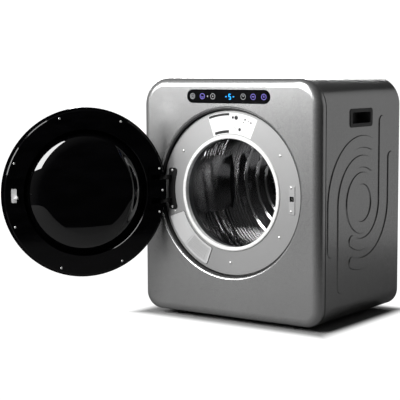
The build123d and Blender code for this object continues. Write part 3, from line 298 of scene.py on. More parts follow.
def grain_group() -> bpy.types.NodeTree:
    """Fine moulded grain over a slow change of tone.

    Returns:
        The group.
    """
    slow_scale, fine_share, depth = 9.0, 0.45, 0.25 * MM
    sheet, entry, leave = new_group("moulded_grain", SURFACE_INPUTS, SURFACE_OUTPUTS)
    place = sheet.add("ShaderNodeTexCoord").outputs["Object"]
    fine = noise(sheet, place, entry.outputs["Scale"], 2.0)
    mask = blended(sheet, fine, noise(sheet, place, slow_scale), fine_share)
    close_surface(sheet, entry, leave, mask, fine, depth)
    return sheet.tree


def polish_group() -> bpy.types.NodeTree:
    """Polished surface with faint wiping smears.

    Returns:
        The group.
    """
    ripple_scale, depth = 6.0, 0.4 * MM
    sheet, entry, leave = new_group("polish_smears", SURFACE_INPUTS, SURFACE_OUTPUTS)
    place = sheet.add("ShaderNodeTexCoord").outputs["Object"]
    stretch = sheet.add("ShaderNodeMapping", in_Scale=(1.0, 1.0, 3.0), in_Rotation=(0.3, 0.2, 0.7))
    sheet.join(place, stretch.inputs["Vector"])
    smear = noise(sheet, stretch.outputs["Vector"], entry.outputs["Scale"], 5.0)
    mask = sheet.add("ShaderNodeMapRange", in_From_Min=0.4, in_From_Max=0.75)
    sheet.join(smear, mask.inputs["Value"])
    ripple = noise(sheet, place, ripple_scale, 1.0)
    close_surface(sheet, entry, leave, mask.outputs["Result"], ripple, depth)
    return sheet.tree


def flake_group() -> bpy.types.NodeTree:
    """Metal flakes in lacquer: cells that differ a little in tone and tilt.

    Returns:
        The group.
    """
    slow_scale, flake_share, depth = 5.0, 0.6, 0.06 * MM
    sheet, entry, leave = new_group("lacquer_flakes", SURFACE_INPUTS, SURFACE_OUTPUTS)
    place = sheet.add("ShaderNodeTexCoord").outputs["Object"]
    cells = sheet.add("ShaderNodeTexVoronoi")
    sheet.join(place, cells.inputs["Vector"])
    sheet.join(entry.outputs["Scale"], cells.inputs["Scale"])
    tone = sheet.add("ShaderNodeSeparateColor")
    sheet.join(cells.outputs["Color"], tone.inputs["Color"])
    mask = blended(sheet, tone.outputs[0], noise(sheet, place, slow_scale, 2.0), flake_share)
    close_surface(sheet, entry, leave, mask, tone.outputs[1], depth)
    return sheet.tree


def brushed_group() -> bpy.types.NodeTree:
    """Straight brush lines along X.

    Returns:
        The group.
    """
    stretched, depth = 0.03, 0.1 * MM
    sheet, entry, leave = new_group("brush_lines", SURFACE_INPUTS, SURFACE_OUTPUTS)
    place = sheet.add("ShaderNodeTexCoord").outputs["Object"]
    stretch = sheet.add("ShaderNodeMapping", in_Scale=(stretched, 1.0, 1.0))
    sheet.join(place, stretch.inputs["Vector"])
    lines = noise(sheet, stretch.outputs["Vector"], entry.outputs["Scale"])
    close_surface(sheet, entry, leave, lines, lines, depth)
    return sheet.tree


def turned_group() -> bpy.types.NodeTree:
    """Brush lines that run round the porthole axis, as on rolled and spun steel.

    Returns:
        The group.
    """
    stretched, depth = 0.012, 0.1 * MM
    sheet, entry, leave = new_group("turned_lines", SURFACE_INPUTS, SURFACE_OUTPUTS)
    place = sheet.add("ShaderNodeTexCoord").outputs["Object"]
    parts = sheet.add("ShaderNodeSeparateXYZ")
    sheet.join(place, parts.inputs[0])
    across = sheet.maths("SUBTRACT", parts.outputs["X"], DATUM.axis_x)
    above = sheet.maths("SUBTRACT", parts.outputs["Z"], DATUM.axis_z)
    angle = sheet.maths("ARCTAN2", above, across)
    radius = sheet.maths("SQRT", sheet.maths("ADD", sheet.maths("MULTIPLY", across, across),
                                             sheet.maths("MULTIPLY", above, above)))
    rolled = sheet.add("ShaderNodeCombineXYZ")
    sheet.join(sheet.maths("MULTIPLY", angle, stretched), rolled.inputs[0])
    sheet.join(parts.outputs["Y"], rolled.inputs[1])
    sheet.join(radius, rolled.inputs[2])
    lines = noise(sheet, rolled.outputs[0], entry.outputs["Scale"])
    close_surface(sheet, entry, leave, lines, lines, depth)
    return sheet.tree


def fibre_group() -> bpy.types.NodeTree:
    """Crossed fibres, for felt and woven mesh.

    Returns:
        The group.
    """
    depth = 0.4 * MM
    sheet, entry, leave = new_group("fibres", SURFACE_INPUTS, SURFACE_OUTPUTS)
    place = sheet.add("ShaderNodeTexCoord").outputs["Object"]
    fields = []
    for bands in ("X", "Z"):
        wave = sheet.add("ShaderNodeTexWave", bands_direction=bands, in_Distortion=1.5, in_Detail=2.0)
        sheet.join(place, wave.inputs["Vector"])
        sheet.join(entry.outputs["Scale"], wave.inputs["Scale"])
        fields.append(wave.outputs["Fac"])
    weave = sheet.maths("MULTIPLY", *fields)
    close_surface(sheet, entry, leave, weave, weave, depth)
    return sheet.tree


GROUP_MAKERS: dict[Texture, Callable[[], bpy.types.NodeTree]] = {
    Texture.FLAKE: flake_group,
    Texture.GRAIN: grain_group,
    Texture.POLISH: polish_group,
    Texture.BRUSHED: brushed_group,
    Texture.TURNED: turned_group,
    Texture.FIBRE: fibre_group,
}


class Paintbox:
    """Keeps each node group and each material, so that they are built once."""

    groups: dict[Texture, bpy.types.NodeTree] = {}
    materials: dict[str, bpy.types.Material] = {}

    @classmethod
    def group(cls, texture: Texture) -> bpy.types.NodeTree:
        """Return the node group of a texture.

        Args:
            texture: The texture; its group is built when it is first asked for.

        Returns:
            The group.
        """
        if texture not in cls.groups:
            cls.groups[texture] = GROUP_MAKERS[texture]()
        return cls.groups[texture]


@dataclass(frozen=True)
class Finish:
    """A surface finish: its two tones, its gloss and its relief."""

    name: str
    texture: Texture
    light: Colour
    dark: Colour
    scale: float
    roughness: tuple[float, float]
    height: float = 0.1
    metallic: float = 0.0
    coat: float = 0.0
    coat_roughness: float = 0.05
    specular: float = 0.5
    sheen: float = 0.0
    glow: Colour | None = None
    glow_strength: float = 0.0

    def material(self) -> bpy.types.Material:
        """Build the material, or return it if it was built before.

        Returns:
            The material.
        """
        if self.name in Paintbox.materials:
            return Paintbox.materials[self.name]
        material = bpy.data.materials.new(self.name)
        material.use_nodes = True
        sheet = ShaderSheet(material.node_tree)
        surface = sheet.add("ShaderNodeGroup", node_tree=Paintbox.group(self.texture))
        surface.inputs["Light tone"].default_value = (*self.light, 1)
        surface.inputs["Dark tone"].default_value = (*self.dark, 1)
        surface.inputs["Scale"].default_value = self.scale
        surface.inputs["Low roughness"].default_value = self.roughness[0]
        surface.inputs["High roughness"].default_value = self.roughness[1]
        surface.inputs["Height"].default_value = self.height
        shader = sheet.add("ShaderNodeBsdfPrincipled")
        shader.inputs["Metallic"].default_value = self.metallic
        shader.inputs["Coat Weight"].default_value = self.coat
        shader.inputs["Coat Roughness"].default_value = self.coat_roughness
        shader.inputs["Specular IOR Level"].default_value = self.specular
        shader.inputs["Sheen Weight"].default_value = self.sheen
        if self.glow:
            shader.inputs["Emission Color"].default_value = (*self.glow, 1)
            shader.inputs["Emission Strength"].default_value = self.glow_strength
        sheet.join(surface.outputs["Colour"], shader.inputs["Base Color"])
        sheet.join(surface.outputs["Roughness"], shader.inputs["Roughness"])
        sheet.join(surface.outputs["Normal"], shader.inputs["Normal"])
        leave = sheet.add("ShaderNodeOutputMaterial")
        sheet.join(shader.outputs[0], leave.inputs["Surface"])
        Paintbox.materials[self.name] = material
        return material

    def put_on(self, piece: bpy.types.Object) -> bpy.types.Object:
        """Give the finish to every slot of a piece or a CAD node.

        Args:
            piece: A new piece or a CAD node.

        Returns:
            The piece.
        """
        if not piece.material_slots:
            piece.data.materials.append(self.material())
        for slot in piece.material_slots:
            slot.material = self.material()
        return piece


SILVER_LACQUER = Finish("silver_lacquer", Texture.FLAKE, grey(0.55), grey(0.48), 2600, (0.24, 0.32), 0.08,
                        metallic=0.85, coat=0.4, coat_roughness=0.1)
WRAPPER_LACQUER = Finish("wrapper_lacquer", Texture.FLAKE, grey(0.52), grey(0.45), 2600, (0.24, 0.31), 0.08,
                         metallic=0.85, coat=0.4, coat_roughness=0.1)
RING_LACQUER = Finish("ring_lacquer", Texture.FLAKE, grey(0.55), grey(0.48), 2600, (0.32, 0.4), 0.08,
                      metallic=0.7, coat=0.2, coat_roughness=0.2)
WHITE_PLASTIC = Finish("white_plastic", Texture.POLISH, (0.9, 0.9, 0.89), (0.84, 0.84, 0.83), 30,
                       (0.22, 0.32), 0.05)
LABEL_PAPER = Finish("label_paper", Texture.GRAIN, grey(0.95), grey(0.9), 900, (0.45, 0.55), 0.05)
PRINT_BLACK = Finish("print_black", Texture.GRAIN, grey(0.012), grey(0.006), 900, (0.4, 0.5), 0.05)
PRINT_GREY = Finish("print_grey", Texture.GRAIN, grey(0.56), grey(0.5), 900, (0.4, 0.5), 0.05)
BLACK_GLOSS = Finish("black_gloss", Texture.POLISH, (0.0025, 0.0025, 0.003), (0.001, 0.001, 0.0012), 14,
                     (0.05, 0.1), 0.03, specular=0.3)
BLACK_GLASS = Finish("black_glass", Texture.POLISH, (0.0025, 0.0025, 0.003), (0.001, 0.001, 0.0012), 10,
                     (0.02, 0.04), 0.01, coat=1.0, coat_roughness=0.02)
LENS_BLACK = Finish("lens_black", Texture.POLISH, (0.005, 0.005, 0.006), (0.003, 0.003, 0.0035), 18,
                    (0.1, 0.16), 0.02, specular=0.25)
BLACK_GRAIN = Finish("black_grain", Texture.GRAIN, grey(0.014), grey(0.008), 1400, (0.45, 0.6), 0.4)
HINGE_BLACK = Finish("hinge_black", Texture.GRAIN, grey(0.01), grey(0.005), 1100, (0.4, 0.52), 0.3,
                     specular=0.2)
DARK_PLASTIC = Finish("dark_plastic", Texture.GRAIN, (0.06, 0.062, 0.064), (0.045, 0.046, 0.048), 1200,
                      (0.4, 0.55), 0.35)
DUCT_PLASTIC = Finish("duct_plastic", Texture.GRAIN, (0.1, 0.105, 0.11), (0.075, 0.078, 0.08), 1000,
                      (0.45, 0.6), 0.35)
FILTER_PLASTIC = Finish("filter_plastic", Texture.GRAIN, grey(0.56), grey(0.5), 1300, (0.36, 0.46), 0.2)
# Ribs of the filter cover: the darker grey is painted shade that draws dark lines between the raised ribs.
FILTER_RIB_PAINTED_SHADE = Finish("filter_rib_painted_shade", Texture.GRAIN, grey(0.4), grey(0.3), 1300, (0.4, 0.5), 0.2)
CUP_PLASTIC = Finish("cup_plastic", Texture.GRAIN, (0.13, 0.132, 0.135), (0.1, 0.102, 0.104), 1300,
                     (0.38, 0.5), 0.3)
DRUM_STEEL = Finish("drum_steel", Texture.TURNED, grey(0.72), (0.62, 0.62, 0.63), 90, (0.03, 0.06), 0.04,
                    metallic=1.0)
REAR_STEEL = Finish("rear_steel", Texture.TURNED, (0.7, 0.7, 0.71), (0.55, 0.55, 0.56), 400, (0.08, 0.16),
                    0.1, metallic=1.0)
LIFTER_STEEL = Finish("lifter_steel", Texture.BRUSHED, (0.74, 0.74, 0.75), (0.6, 0.6, 0.61), 1500,
                      (0.08, 0.18), 0.15, metallic=1.0)
NICKEL = Finish("nickel", Texture.POLISH, (0.95, 0.95, 0.94), (0.86, 0.86, 0.85), 120, (0.26, 0.38), 0.05,
                metallic=0.75)
SATIN_PLATE = Finish("satin_plate", Texture.BRUSHED, grey(0.6), grey(0.5), 700, (0.3, 0.42), 0.1,
                     metallic=0.6)
ZINC_PLATE = Finish("bright_zinc_plate", Texture.POLISH, grey(0.95), grey(0.84), 60, (0.3, 0.44), 0.08,
                    metallic=0.35, coat=0.3)
SATIN_STEEL = Finish("satin_steel", Texture.BRUSHED, (0.72, 0.72, 0.73), (0.6, 0.6, 0.61), 1800,
                     (0.24, 0.36), 0.12, metallic=1.0)
ZINC_SHEET = Finish("zinc_sheet", Texture.POLISH, (0.62, 0.64, 0.66), (0.44, 0.46, 0.48), 26, (0.28, 0.46),
                    0.05, metallic=0.9)
CAST_ALLOY = Finish("cast_alloy", Texture.GRAIN, (0.52, 0.53, 0.54), (0.42, 0.43, 0.44), 700, (0.42, 0.58),
                    0.5, metallic=0.9)
BRONZE = Finish("bronze", Texture.GRAIN, (0.6, 0.4, 0.2), (0.46, 0.3, 0.15), 1500, (0.35, 0.5), 0.3,
                metallic=1.0)
MOTOR_LACQUER = Finish("motor_lacquer", Texture.GRAIN, (0.05, 0.05, 0.055), (0.03, 0.03, 0.032), 700,
                       (0.3, 0.45), 0.3, coat=0.2)
FELT = Finish("felt", Texture.FIBRE, (0.5, 0.49, 0.47), (0.34, 0.33, 0.31), 420, (0.85, 0.95), 0.8,
              sheen=0.4)
LINT_MESH = Finish("lint_mesh", Texture.FIBRE, (0.4, 0.41, 0.42), (0.1, 0.1, 0.11), 600, (0.6, 0.75), 0.7)
FOOT_RUBBER = Finish("foot_rubber", Texture.GRAIN, grey(0.02), grey(0.012), 800, (0.65, 0.8), 0.4)
BELT_RUBBER = Finish("belt_rubber", Texture.FIBRE, grey(0.025), grey(0.012), 500, (0.6, 0.75), 0.5)
NYLON = Finish("nylon", Texture.GRAIN, (0.78, 0.77, 0.74), (0.7, 0.69, 0.66), 900, (0.35, 0.48), 0.2)
BOARD_GREEN = Finish("board_green", Texture.GRAIN, (0.02, 0.14, 0.05), (0.012, 0.09, 0.035), 300,
                     (0.25, 0.4), 0.2)
GREY_LIGHT = Finish("icon_grey", Texture.POLISH, (0.3, 0.3, 0.31), (0.26, 0.26, 0.27), 200, (0.3, 0.4),
                    0.02, glow=(0.62, 0.62, 0.66), glow_strength=0.34)
VIOLET_LIGHT = Finish("icon_violet", Texture.POLISH, (0.12, 0.1, 0.35), (0.1, 0.08, 0.3), 200, (0.3, 0.4),
                      0.02, glow=(0.3, 0.24, 0.95), glow_strength=0.85)
BLUE_LIGHT = Finish("display_blue", Texture.POLISH, (0.0, 0.2, 0.5), (0.0, 0.15, 0.4), 200, (0.3, 0.4),
                    0.02, glow=(0.0, 0.36, 1.0), glow_strength=1.5)


# Mesh helpers

def rounded(points: Outline, steps: int = 6) -> list[tuple[float, float]]:
    """Round the corners of a closed outline.

    Args:
        points: Corners as (radius, depth), with a third value where a corner is rounded.
        steps: Straight steps in each rounded corner.

    Returns:
        The outline's points.
    """
    result = []
    for i, corner in enumerate(points):
        here = Vector(corner[:2])
        if len(corner) < 3:
            result.append(tuple(here))
            continue
        before = (Vector(points[i - 1][:2]) - here).normalized()
        after = (Vector(points[(i + 1) % len(points)][:2]) - here).normalized()
        half = before.angle(after) / 2
        centre = here + (before + after).normalized() * corner[2] / math.sin(half)
        start = here + before * corner[2] / math.tan(half) - centre
        end = here + after * corner[2] / math.tan(half) - centre
        turn = start.angle_signed(end)
        for step in range(steps + 1):
            arm = Matrix.Rotation(-turn * step / steps, 2) @ start
            result.append(tuple(centre + arm))
    return result


def mesh_piece(name: str, shape: bmesh.types.BMesh, smooth: bool = True, sharp: float = 38.0
               ) -> bpy.types.Object:
    """Make an object from a bmesh: doubles merged, normals outwards, smooth between sharp edges.

    Args:
        name: Name of the piece.
        shape: The mesh, which is freed.
        smooth: Whether faces shade smooth.
        sharp: Angle in degrees past which an edge stays sharp.

    Returns:
        The object, at the origin.
    """
    bmesh.ops.remove_doubles(shape, verts=shape.verts, dist=MERGE_DISTANCE)
    bmesh.ops.recalc_face_normals(shape, faces=shape.faces)
    data = bpy.data.meshes.new(name)
    shape.to_mesh(data)
    shape.free()
    piece = bpy.data.objects.new(name, data)
    bpy.context.scene.collection.objects.link(piece)
    if smooth:
        data.shade_smooth()
        data.set_sharp_from_angle(angle=math.radians(sharp))
    return piece


def lathe(name: str, outline: Outline, x: float, z: float, segments: int = 192, sharp: float = 38.0
          ) -> bpy.types.Object:
    """Turn a closed (radius, depth) outline about an axis that runs front to back.

    Args:
        name: Name of the piece.
        outline: Closed outline; a point with no radius lies on the axis.
        x: Axis position across.
        z: Axis height.
        segments: Number of steps round the axis.
        sharp: Angle in degrees past which an edge stays sharp.

    Returns:
        The turned piece.
    """
    shape = bmesh.new()
    rings = []
    for step in range(segments):
        angle = 2 * math.pi * step / segments
        rings.append([
            shape.verts.new((x + r * math.cos(angle), DATUM.front_y + d, z + r * math.sin(angle)))
            for r, d in outline
        ])
    count = len(outline)
    for step, ring in enumerate(rings):
        following = rings[(step + 1) % segments]
        for i in range(count):
            j = (i + 1) % count
            if outline[i][0] == 0 and outline[j][0] == 0:
                continue
            shape.faces.new((ring[i], ring[j], following[j], following[i]))
    bmesh.ops.remove_doubles(shape, verts=shape.verts, dist=MERGE_DISTANCE)
    bmesh.ops.dissolve_degenerate(shape, edges=shape.edges, dist=SHORTEST_EDGE)
    return mesh_piece(name, shape, sharp=sharp)


def place_on(piece: bpy.types.Object, body: str, finish: Finish, slot: str, *nodes: str
             ) -> bpy.types.Object:
    """Dress a piece, let it ride on a body and stand for CAD nodes.

    Args:
        piece: The finished mesh.
        body: CAD body that it moves with.
        finish: Its finish.
        slot: Material slot of the record; not used.
        *nodes: CAD nodes that it replaces.

    Returns:
        The piece.
    """
    finish.put_on(piece)
    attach(piece, body)
    if nodes:
        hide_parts(*nodes)
    LOG.info("%s rides on %s", piece.name, body)
    return piece


def dress(finish: Finish, *nodes: str) -> None:
    """Give a finish to CAD nodes that keep their own shape.

    Args:
        finish: The finish.
        *nodes: Names of the nodes.
    """
    for name in nodes:
        finish.put_on(frame["nodes"][name])
        LOG.info("%s wears %s", name, finish.name)


def drop(piece: bpy.types.Object) -> None:
    """Delete a helper object."""
    bpy.data.objects.remove(piece, do_unlink=True)


# Geometry Nodes

# Sockets of a Random Value node that hold plain numbers
RANDOM_MOST, RANDOM_VALUE = 3, 1


class GeometrySheet(ShaderSheet):
    """A geometry tree under construction, with named inputs, used once and turned into a plain mesh."""

    def __init__(self, name: str, inputs: Sequence[tuple[str, str]]) -> None:
        """Start a tree.

        Args:
            name: Name of the tree.
            inputs: Socket names with their types, after the geometry.
        """
        tree = bpy.data.node_groups.new(name, "GeometryNodeTree")
        tree.interface.new_socket("Geometry", in_out="INPUT", socket_type="NodeSocketGeometry")
        for socket_name, socket_type in inputs:
            tree.interface.new_socket(socket_name, in_out="INPUT", socket_type=socket_type)
        tree.interface.new_socket("Geometry", in_out="OUTPUT", socket_type="NodeSocketGeometry")
        super().__init__(tree)
        self.entry = self.add("NodeGroupInput")
        self.leave = self.add("NodeGroupOutput")

    def copies(self) -> bpy.types.Node:
        """Put the object of the input named Template on each point of the base.

        Returns:
            The node that makes the copies.
        """
        points = self.add("GeometryNodeMeshToPoints")
        self.join(self.entry.outputs["Geometry"], points.inputs["Mesh"])
        source = self.add("GeometryNodeObjectInfo")
        self.join(self.entry.outputs["Template"], source.inputs["Object"])
        copies = self.add("GeometryNodeInstanceOnPoints")
        self.join(points.outputs[0], copies.inputs["Points"])
        self.join(source.outputs["Geometry"], copies.inputs["Instance"])
        return copies

    def finish_with(self, geometry: bpy.types.NodeSocket, finish: Finish) -> None:
        """End the tree in Realize Instances and Set Material.

        Args:
            geometry: Socket of what the tree has made.
            finish: Its finish.
        """
        solid = self.add("GeometryNodeRealizeInstances")
        coat = self.add("GeometryNodeSetMaterial")
        coat.inputs["Material"].default_value = finish.material()
        self.join(geometry, solid.inputs[0])
        self.join(solid.outputs[0], coat.inputs["Geometry"])
        self.join(coat.outputs[0], self.leave.inputs[0])

    def baked(self, base: bpy.types.Object, name: str, values: dict[str, object]) -> bpy.types.Object:
        """Run the tree on a base object and keep the result as a plain mesh.

        Args:
            base: Object that carries the tree; it is deleted.
            name: Name of the result.
            values: Input values by name.

        Returns:
            The result, at the origin.
        """
        modifier = base.modifiers.new("shape", "NODES")
        modifier.node_group = self.tree
        for item in self.tree.interface.items_tree:
            if item.item_type == "SOCKET" and item.in_out == "INPUT" and item.name in values:
                modifier[item.identifier] = values[item.name]
        graph = bpy.context.evaluated_depsgraph_get()
        data = bpy.data.meshes.new_from_object(base.evaluated_get(graph), depsgraph=graph)
        data.name = name
        drop(base)
        piece = bpy.data.objects.new(name, data)
        bpy.context.scene.collection.objects.link(piece)
        return piece


def base_of(name: str, places: Sequence[Vector] = ()) -> bpy.types.Object:
    """Object whose mesh is a row of loose points, or nothing, to carry a geometry tree.

    Args:
        name: Name of the object and its mesh.
        places: Its points.

    Returns:
        The object.
    """
    data = bpy.data.meshes.new(name)
    data.from_pydata([tuple(place) for place in places], [], [])
    base = bpy.data.objects.new(name, data)
    bpy.context.scene.collection.objects.link(base)
    return base


@dataclass(frozen=True)
class Seat:
    """Where an instance sits: its place, the way it faces and its size."""

    place: Vector
    outward: Vector
    scale: float


def scatter(name: str, template: bpy.types.Object, seats: Sequence[Seat], finish: Finish, turn_seed: int
            ) -> bpy.types.Object:
    """Set a template on a list of seats with a geometry tree.

    Args:
        name: Name of the result.
        template: Object to repeat, drawn along +Z from the origin.
        seats: Where the copies go.
        finish: Finish of the copies.
        turn_seed: Seed of the random turn about each copy's own axis.

    Returns:
        One mesh with all copies.
    """
    base = base_of(name + "_seats", [seat.place for seat in seats])
    attributes = base.data.attributes
    attributes.new("outward", "FLOAT_VECTOR", "POINT")
    attributes.new("size", "FLOAT", "POINT")
    for i, seat in enumerate(seats):
        attributes["outward"].data[i].vector = seat.outward
        attributes["size"].data[i].value = seat.scale

    sheet = GeometrySheet(name + "_tree", (("Template", "NodeSocketObject"), ("Turn seed", "NodeSocketInt")))
    facing = sheet.add("GeometryNodeInputNamedAttribute", data_type="FLOAT_VECTOR", in_Name="outward")
    size = sheet.add("GeometryNodeInputNamedAttribute", data_type="FLOAT", in_Name="size")
    align = sheet.add("FunctionNodeAlignRotationToVector", axis="Z")
    sheet.join(facing.outputs[0], align.inputs["Vector"])
    copies = sheet.copies()
    sheet.join(align.outputs[0], copies.inputs["Rotation"])
    sheet.join(size.outputs[0], copies.inputs["Scale"])
    chance = sheet.add("FunctionNodeRandomValue", data_type="FLOAT")
    chance.inputs[RANDOM_MOST].default_value = math.pi
    sheet.join(sheet.entry.outputs["Turn seed"], chance.inputs["Seed"])
    about = sheet.add("ShaderNodeCombineXYZ")
    sheet.join(chance.outputs[RANDOM_VALUE], about.inputs["Z"])
    turned = sheet.add("GeometryNodeRotateInstances")
    sheet.join(copies.outputs[0], turned.inputs["Instances"])
    sheet.join(about.outputs[0], turned.inputs["Rotation"])
    sheet.finish_with(turned.outputs[0], finish)
    return sheet.baked(base, name, {"Template": template, "Turn seed": turn_seed})


@dataclass
class ScrewTemplate:
    """Pan-head screw with a cross recess, one unit of head radius wide."""

    rise: float = 0.5
    shank: float = 0.4
    length: float = 1.6
    recess: float = 0.62
    slot: float = 0.2
    segments: int = 24

    def build(self) -> bpy.types.Object:
        """Build the screw along +Z with the underside of its head at the origin.

        Returns:
            The screw, to be dropped once it is copied.
        """
        head = [(0.0, self.rise), (0.45, self.rise * 0.97), (0.75, self.rise * 0.8), (0.93, self.rise * 0.5),
                (1.0, self.rise * 0.15), (1.0, 0.0), (self.shank, 0.0), (self.shank, -self.length),
                (0.0, -self.length)]
        shape = bmesh.new()
        rings = [[shape.verts.new((r * math.cos(a), r * math.sin(a), h)) for r, h in head]
                 for a in (2 * math.pi * i / self.segments for i in range(self.segments))]
        for i, ring in enumerate(rings):
            following = rings[(i + 1) % self.segments]
            for j in range(len(head) - 1):
                shape.faces.new((ring[j], ring[j + 1], following[j + 1], following[j]))
        bmesh.ops.remove_doubles(shape, verts=shape.verts, dist=1e-5)
        screw = mesh_piece("screw_template", shape)
        cross = bmesh.new()
        for turn in (0, math.pi / 2):
            size = Matrix.Diagonal((2 * self.recess, self.slot, self.rise, 1))
            place = Matrix.Rotation(turn, 4, "Z") @ Matrix.Translation((0, 0, self.rise)) @ size
            bmesh.ops.create_cube(cross, size=1, matrix=place)
        cutter = mesh_piece("screw_cross", cross, smooth=False)
        cut = screw.modifiers.new("cross", "BOOLEAN")
        cut.operation, cut.object, cut.solver = "DIFFERENCE", cutter, "EXACT"
        cut.use_self = True
        graph = bpy.context.evaluated_depsgraph_get()
        data = bpy.data.meshes.new_from_object(screw.evaluated_get(graph), depsgraph=graph)
        screw.modifiers.clear()
        screw.data = data
        data.shade_smooth()
        data.set_sharp_from_angle(angle=math.radians(35))
        drop(cutter)
        return screw


class Inlay:
    """Flat raised marks on a plane that faces the front, gathered in one mesh."""

    def __init__(self, depth: float, thickness: float = 0.12 * MM) -> None:
        """Start an empty inlay.

        Args:
            depth: Depth of its back behind the front face.
            thickness: How far its marks stand out.
        """
        self.shape = bmesh.new()
        self.back = DATUM.front_y + depth
        self.face = self.back - thickness

    def polygon(self, points: Sequence[tuple[float, float]]) -> None:
        """Add a convex mark.

        Args:
            points: Its corners as (x, z).
        """
        low = [self.shape.verts.new((x, self.back, z)) for x, z in points]
        high = [self.shape.verts.new((x, self.face, z)) for x, z in points]
        self.shape.faces.new(low)
        self.shape.faces.new(list(reversed(high)))
        for i in range(len(points)):
            j = (i + 1) % len(points)
            self.shape.faces.new((low[i], low[j], high[j], high[i]))

    def disc(self, x: float, z: float, radius: float, sides: int = 20) -> None:
        """Add a round or many-sided mark.

        Args:
            x: Its middle across.
            z: Its middle height.
            radius: Distance of its corners from the middle.
            sides: Number of its sides.
        """
        turns = [2 * math.pi * i / sides for i in range(sides)]
        self.polygon([(x + radius * math.cos(a), z + radius * math.sin(a)) for a in turns])

    def arc(self, x: float, z: float, inner: float, outer: float, start: float, end: float,
            steps: int = 28) -> None:
        """Add a band along an arc.

        Args:
            x: Centre across.
            z: Centre height.
            inner: Inner radius.
            outer: Outer radius.
            start: First angle in degrees, from +X towards +Z.
            end: Last angle in degrees.
            steps: Number of straight steps.
        """
        for i in range(steps):
            first = math.radians(start + (end - start) * i / steps)
            last = math.radians(start + (end - start) * (i + 1) / steps)
            self.polygon([
                (x + inner * math.cos(first), z + inner * math.sin(first)),
                (x + outer * math.cos(first), z + outer * math.sin(first)),
                (x + outer * math.cos(last), z + outer * math.sin(last)),
                (x + inner * math.cos(last), z + inner * math.sin(last)),
            ])

    def bar(self, x: float, z: float, width: float, height: float, lean: float = 0.0) -> None:
        """Add a bar.

        Args:
            x: Its middle across.
            z: Its middle height.
            width: Its width before it leans.
            height: Its height before it leans.
            lean: Angle in degrees that it is turned by.
        """
        turn = Matrix.Rotation(math.radians(lean), 2)
        corners = [(-width / 2, -height / 2), (width / 2, -height / 2), (width / 2, height / 2),
                   (-width / 2, height / 2)]
        moved = [turn @ Vector(c) for c in corners]
        self.polygon([(x + c.x, z + c.y) for c in moved])

    def piece(self, name: str) -> bpy.types.Object:
        """Close the inlay as one object."""
        return mesh_piece(name, self.shape, smooth=False)


# Sub-assemblies

@dataclass
class Cabinet:
    """Front panel, wrapper, back, floor and feet."""

    grille_columns: tuple[float, ...] = (-225 * MM, -150 * MM, 150 * MM, 225 * MM)
    grille_low: float = 483 * MM
    grille_step: float = 13 * MM
    grille_count: int = 6
    louvre_width: float = 62 * MM
    louvre_radius: float = 3.4 * MM
    louvre_wall: float = 0.8 * MM
    louvre_flatness: float = 0.9
    louvre_steps: int = 8

    def build(self) -> None:
        """Dress the casing and add what the back has."""
        dress(SILVER_LACQUER, "front_panel")
        dress(WRAPPER_LACQUER, "cabinet_wrapper")
        dress(CUP_PLASTIC, "handle_cup_left", "handle_cup_right")
        dress(BLACK_GRAIN, "front_frame", "cord_gland")
        dress(ZINC_SHEET, "rear_panel", "base_pan")
        dress(FOOT_RUBBER, "feet")
        dress(DUCT_PLASTIC, "exhaust_spigot")
        place_on(self.louvres(), "cabinet", ZINC_SHEET, "zinc_sheet")

    def louvre(self) -> bpy.types.Object:
        """One pressed hood over an air slot, drawn along +Z as its outward side.

        Returns:
            The hood, to be dropped once it is copied.
        """
        shape = bmesh.new()
        steps, half = self.louvre_steps, self.louvre_width / 2
        turns = [math.pi * 0.5 * i / steps for i in range(steps + 1)]
        loops = []
        for radius in (self.louvre_radius, self.louvre_radius - self.louvre_wall):
            loops.append([(radius * math.cos(turn) - self.louvre_radius / 2,
                           radius * math.sin(turn) * self.louvre_flatness) for turn in turns])
        section = loops[0] + list(reversed(loops[1]))
        ends = [[shape.verts.new((side * half, y, z)) for y, z in section] for side in (-1, 1)]
        for i in range(len(section)):
            j = (i + 1) % len(section)
            shape.faces.new((ends[0][i], ends[0][j], ends[1][j], ends[1][i]))
        for end in ends:
            middle = len(loops[0])
            for i in range(middle - 1):
                shape.faces.new((end[i], end[i + 1], end[-i - 2], end[-i - 1]))
        return mesh_piece("louvre_template", shape)

    def louvres(self) -> bpy.types.Object:
        """Hoods over the air slots of the back, all turned alike.

        Returns:
            One mesh with all hoods.
        """
        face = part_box("rear_panel")[1].y
        template = self.louvre()
        places = [Vector((x, face, self.grille_low + self.grille_step * i))
                  for x in self.grille_columns for i in range(self.grille_count)]
        sheet = GeometrySheet("rear_louvres_tree", (("Template", "NodeSocketObject"), ("Lean", VECTOR)))
        copies = sheet.copies()
        sheet.join(sheet.entry.outputs["Lean"], copies.inputs["Rotation"])
        sheet.finish_with(copies.outputs[0], ZINC_SHEET)
        hoods = sheet.baked(base_of("rear_louvres_seats", places), "rear_louvres",
                            {"Template": template, "Lean": (-math.pi / 2, 0, math.pi)})
        drop(template)
        return hoods


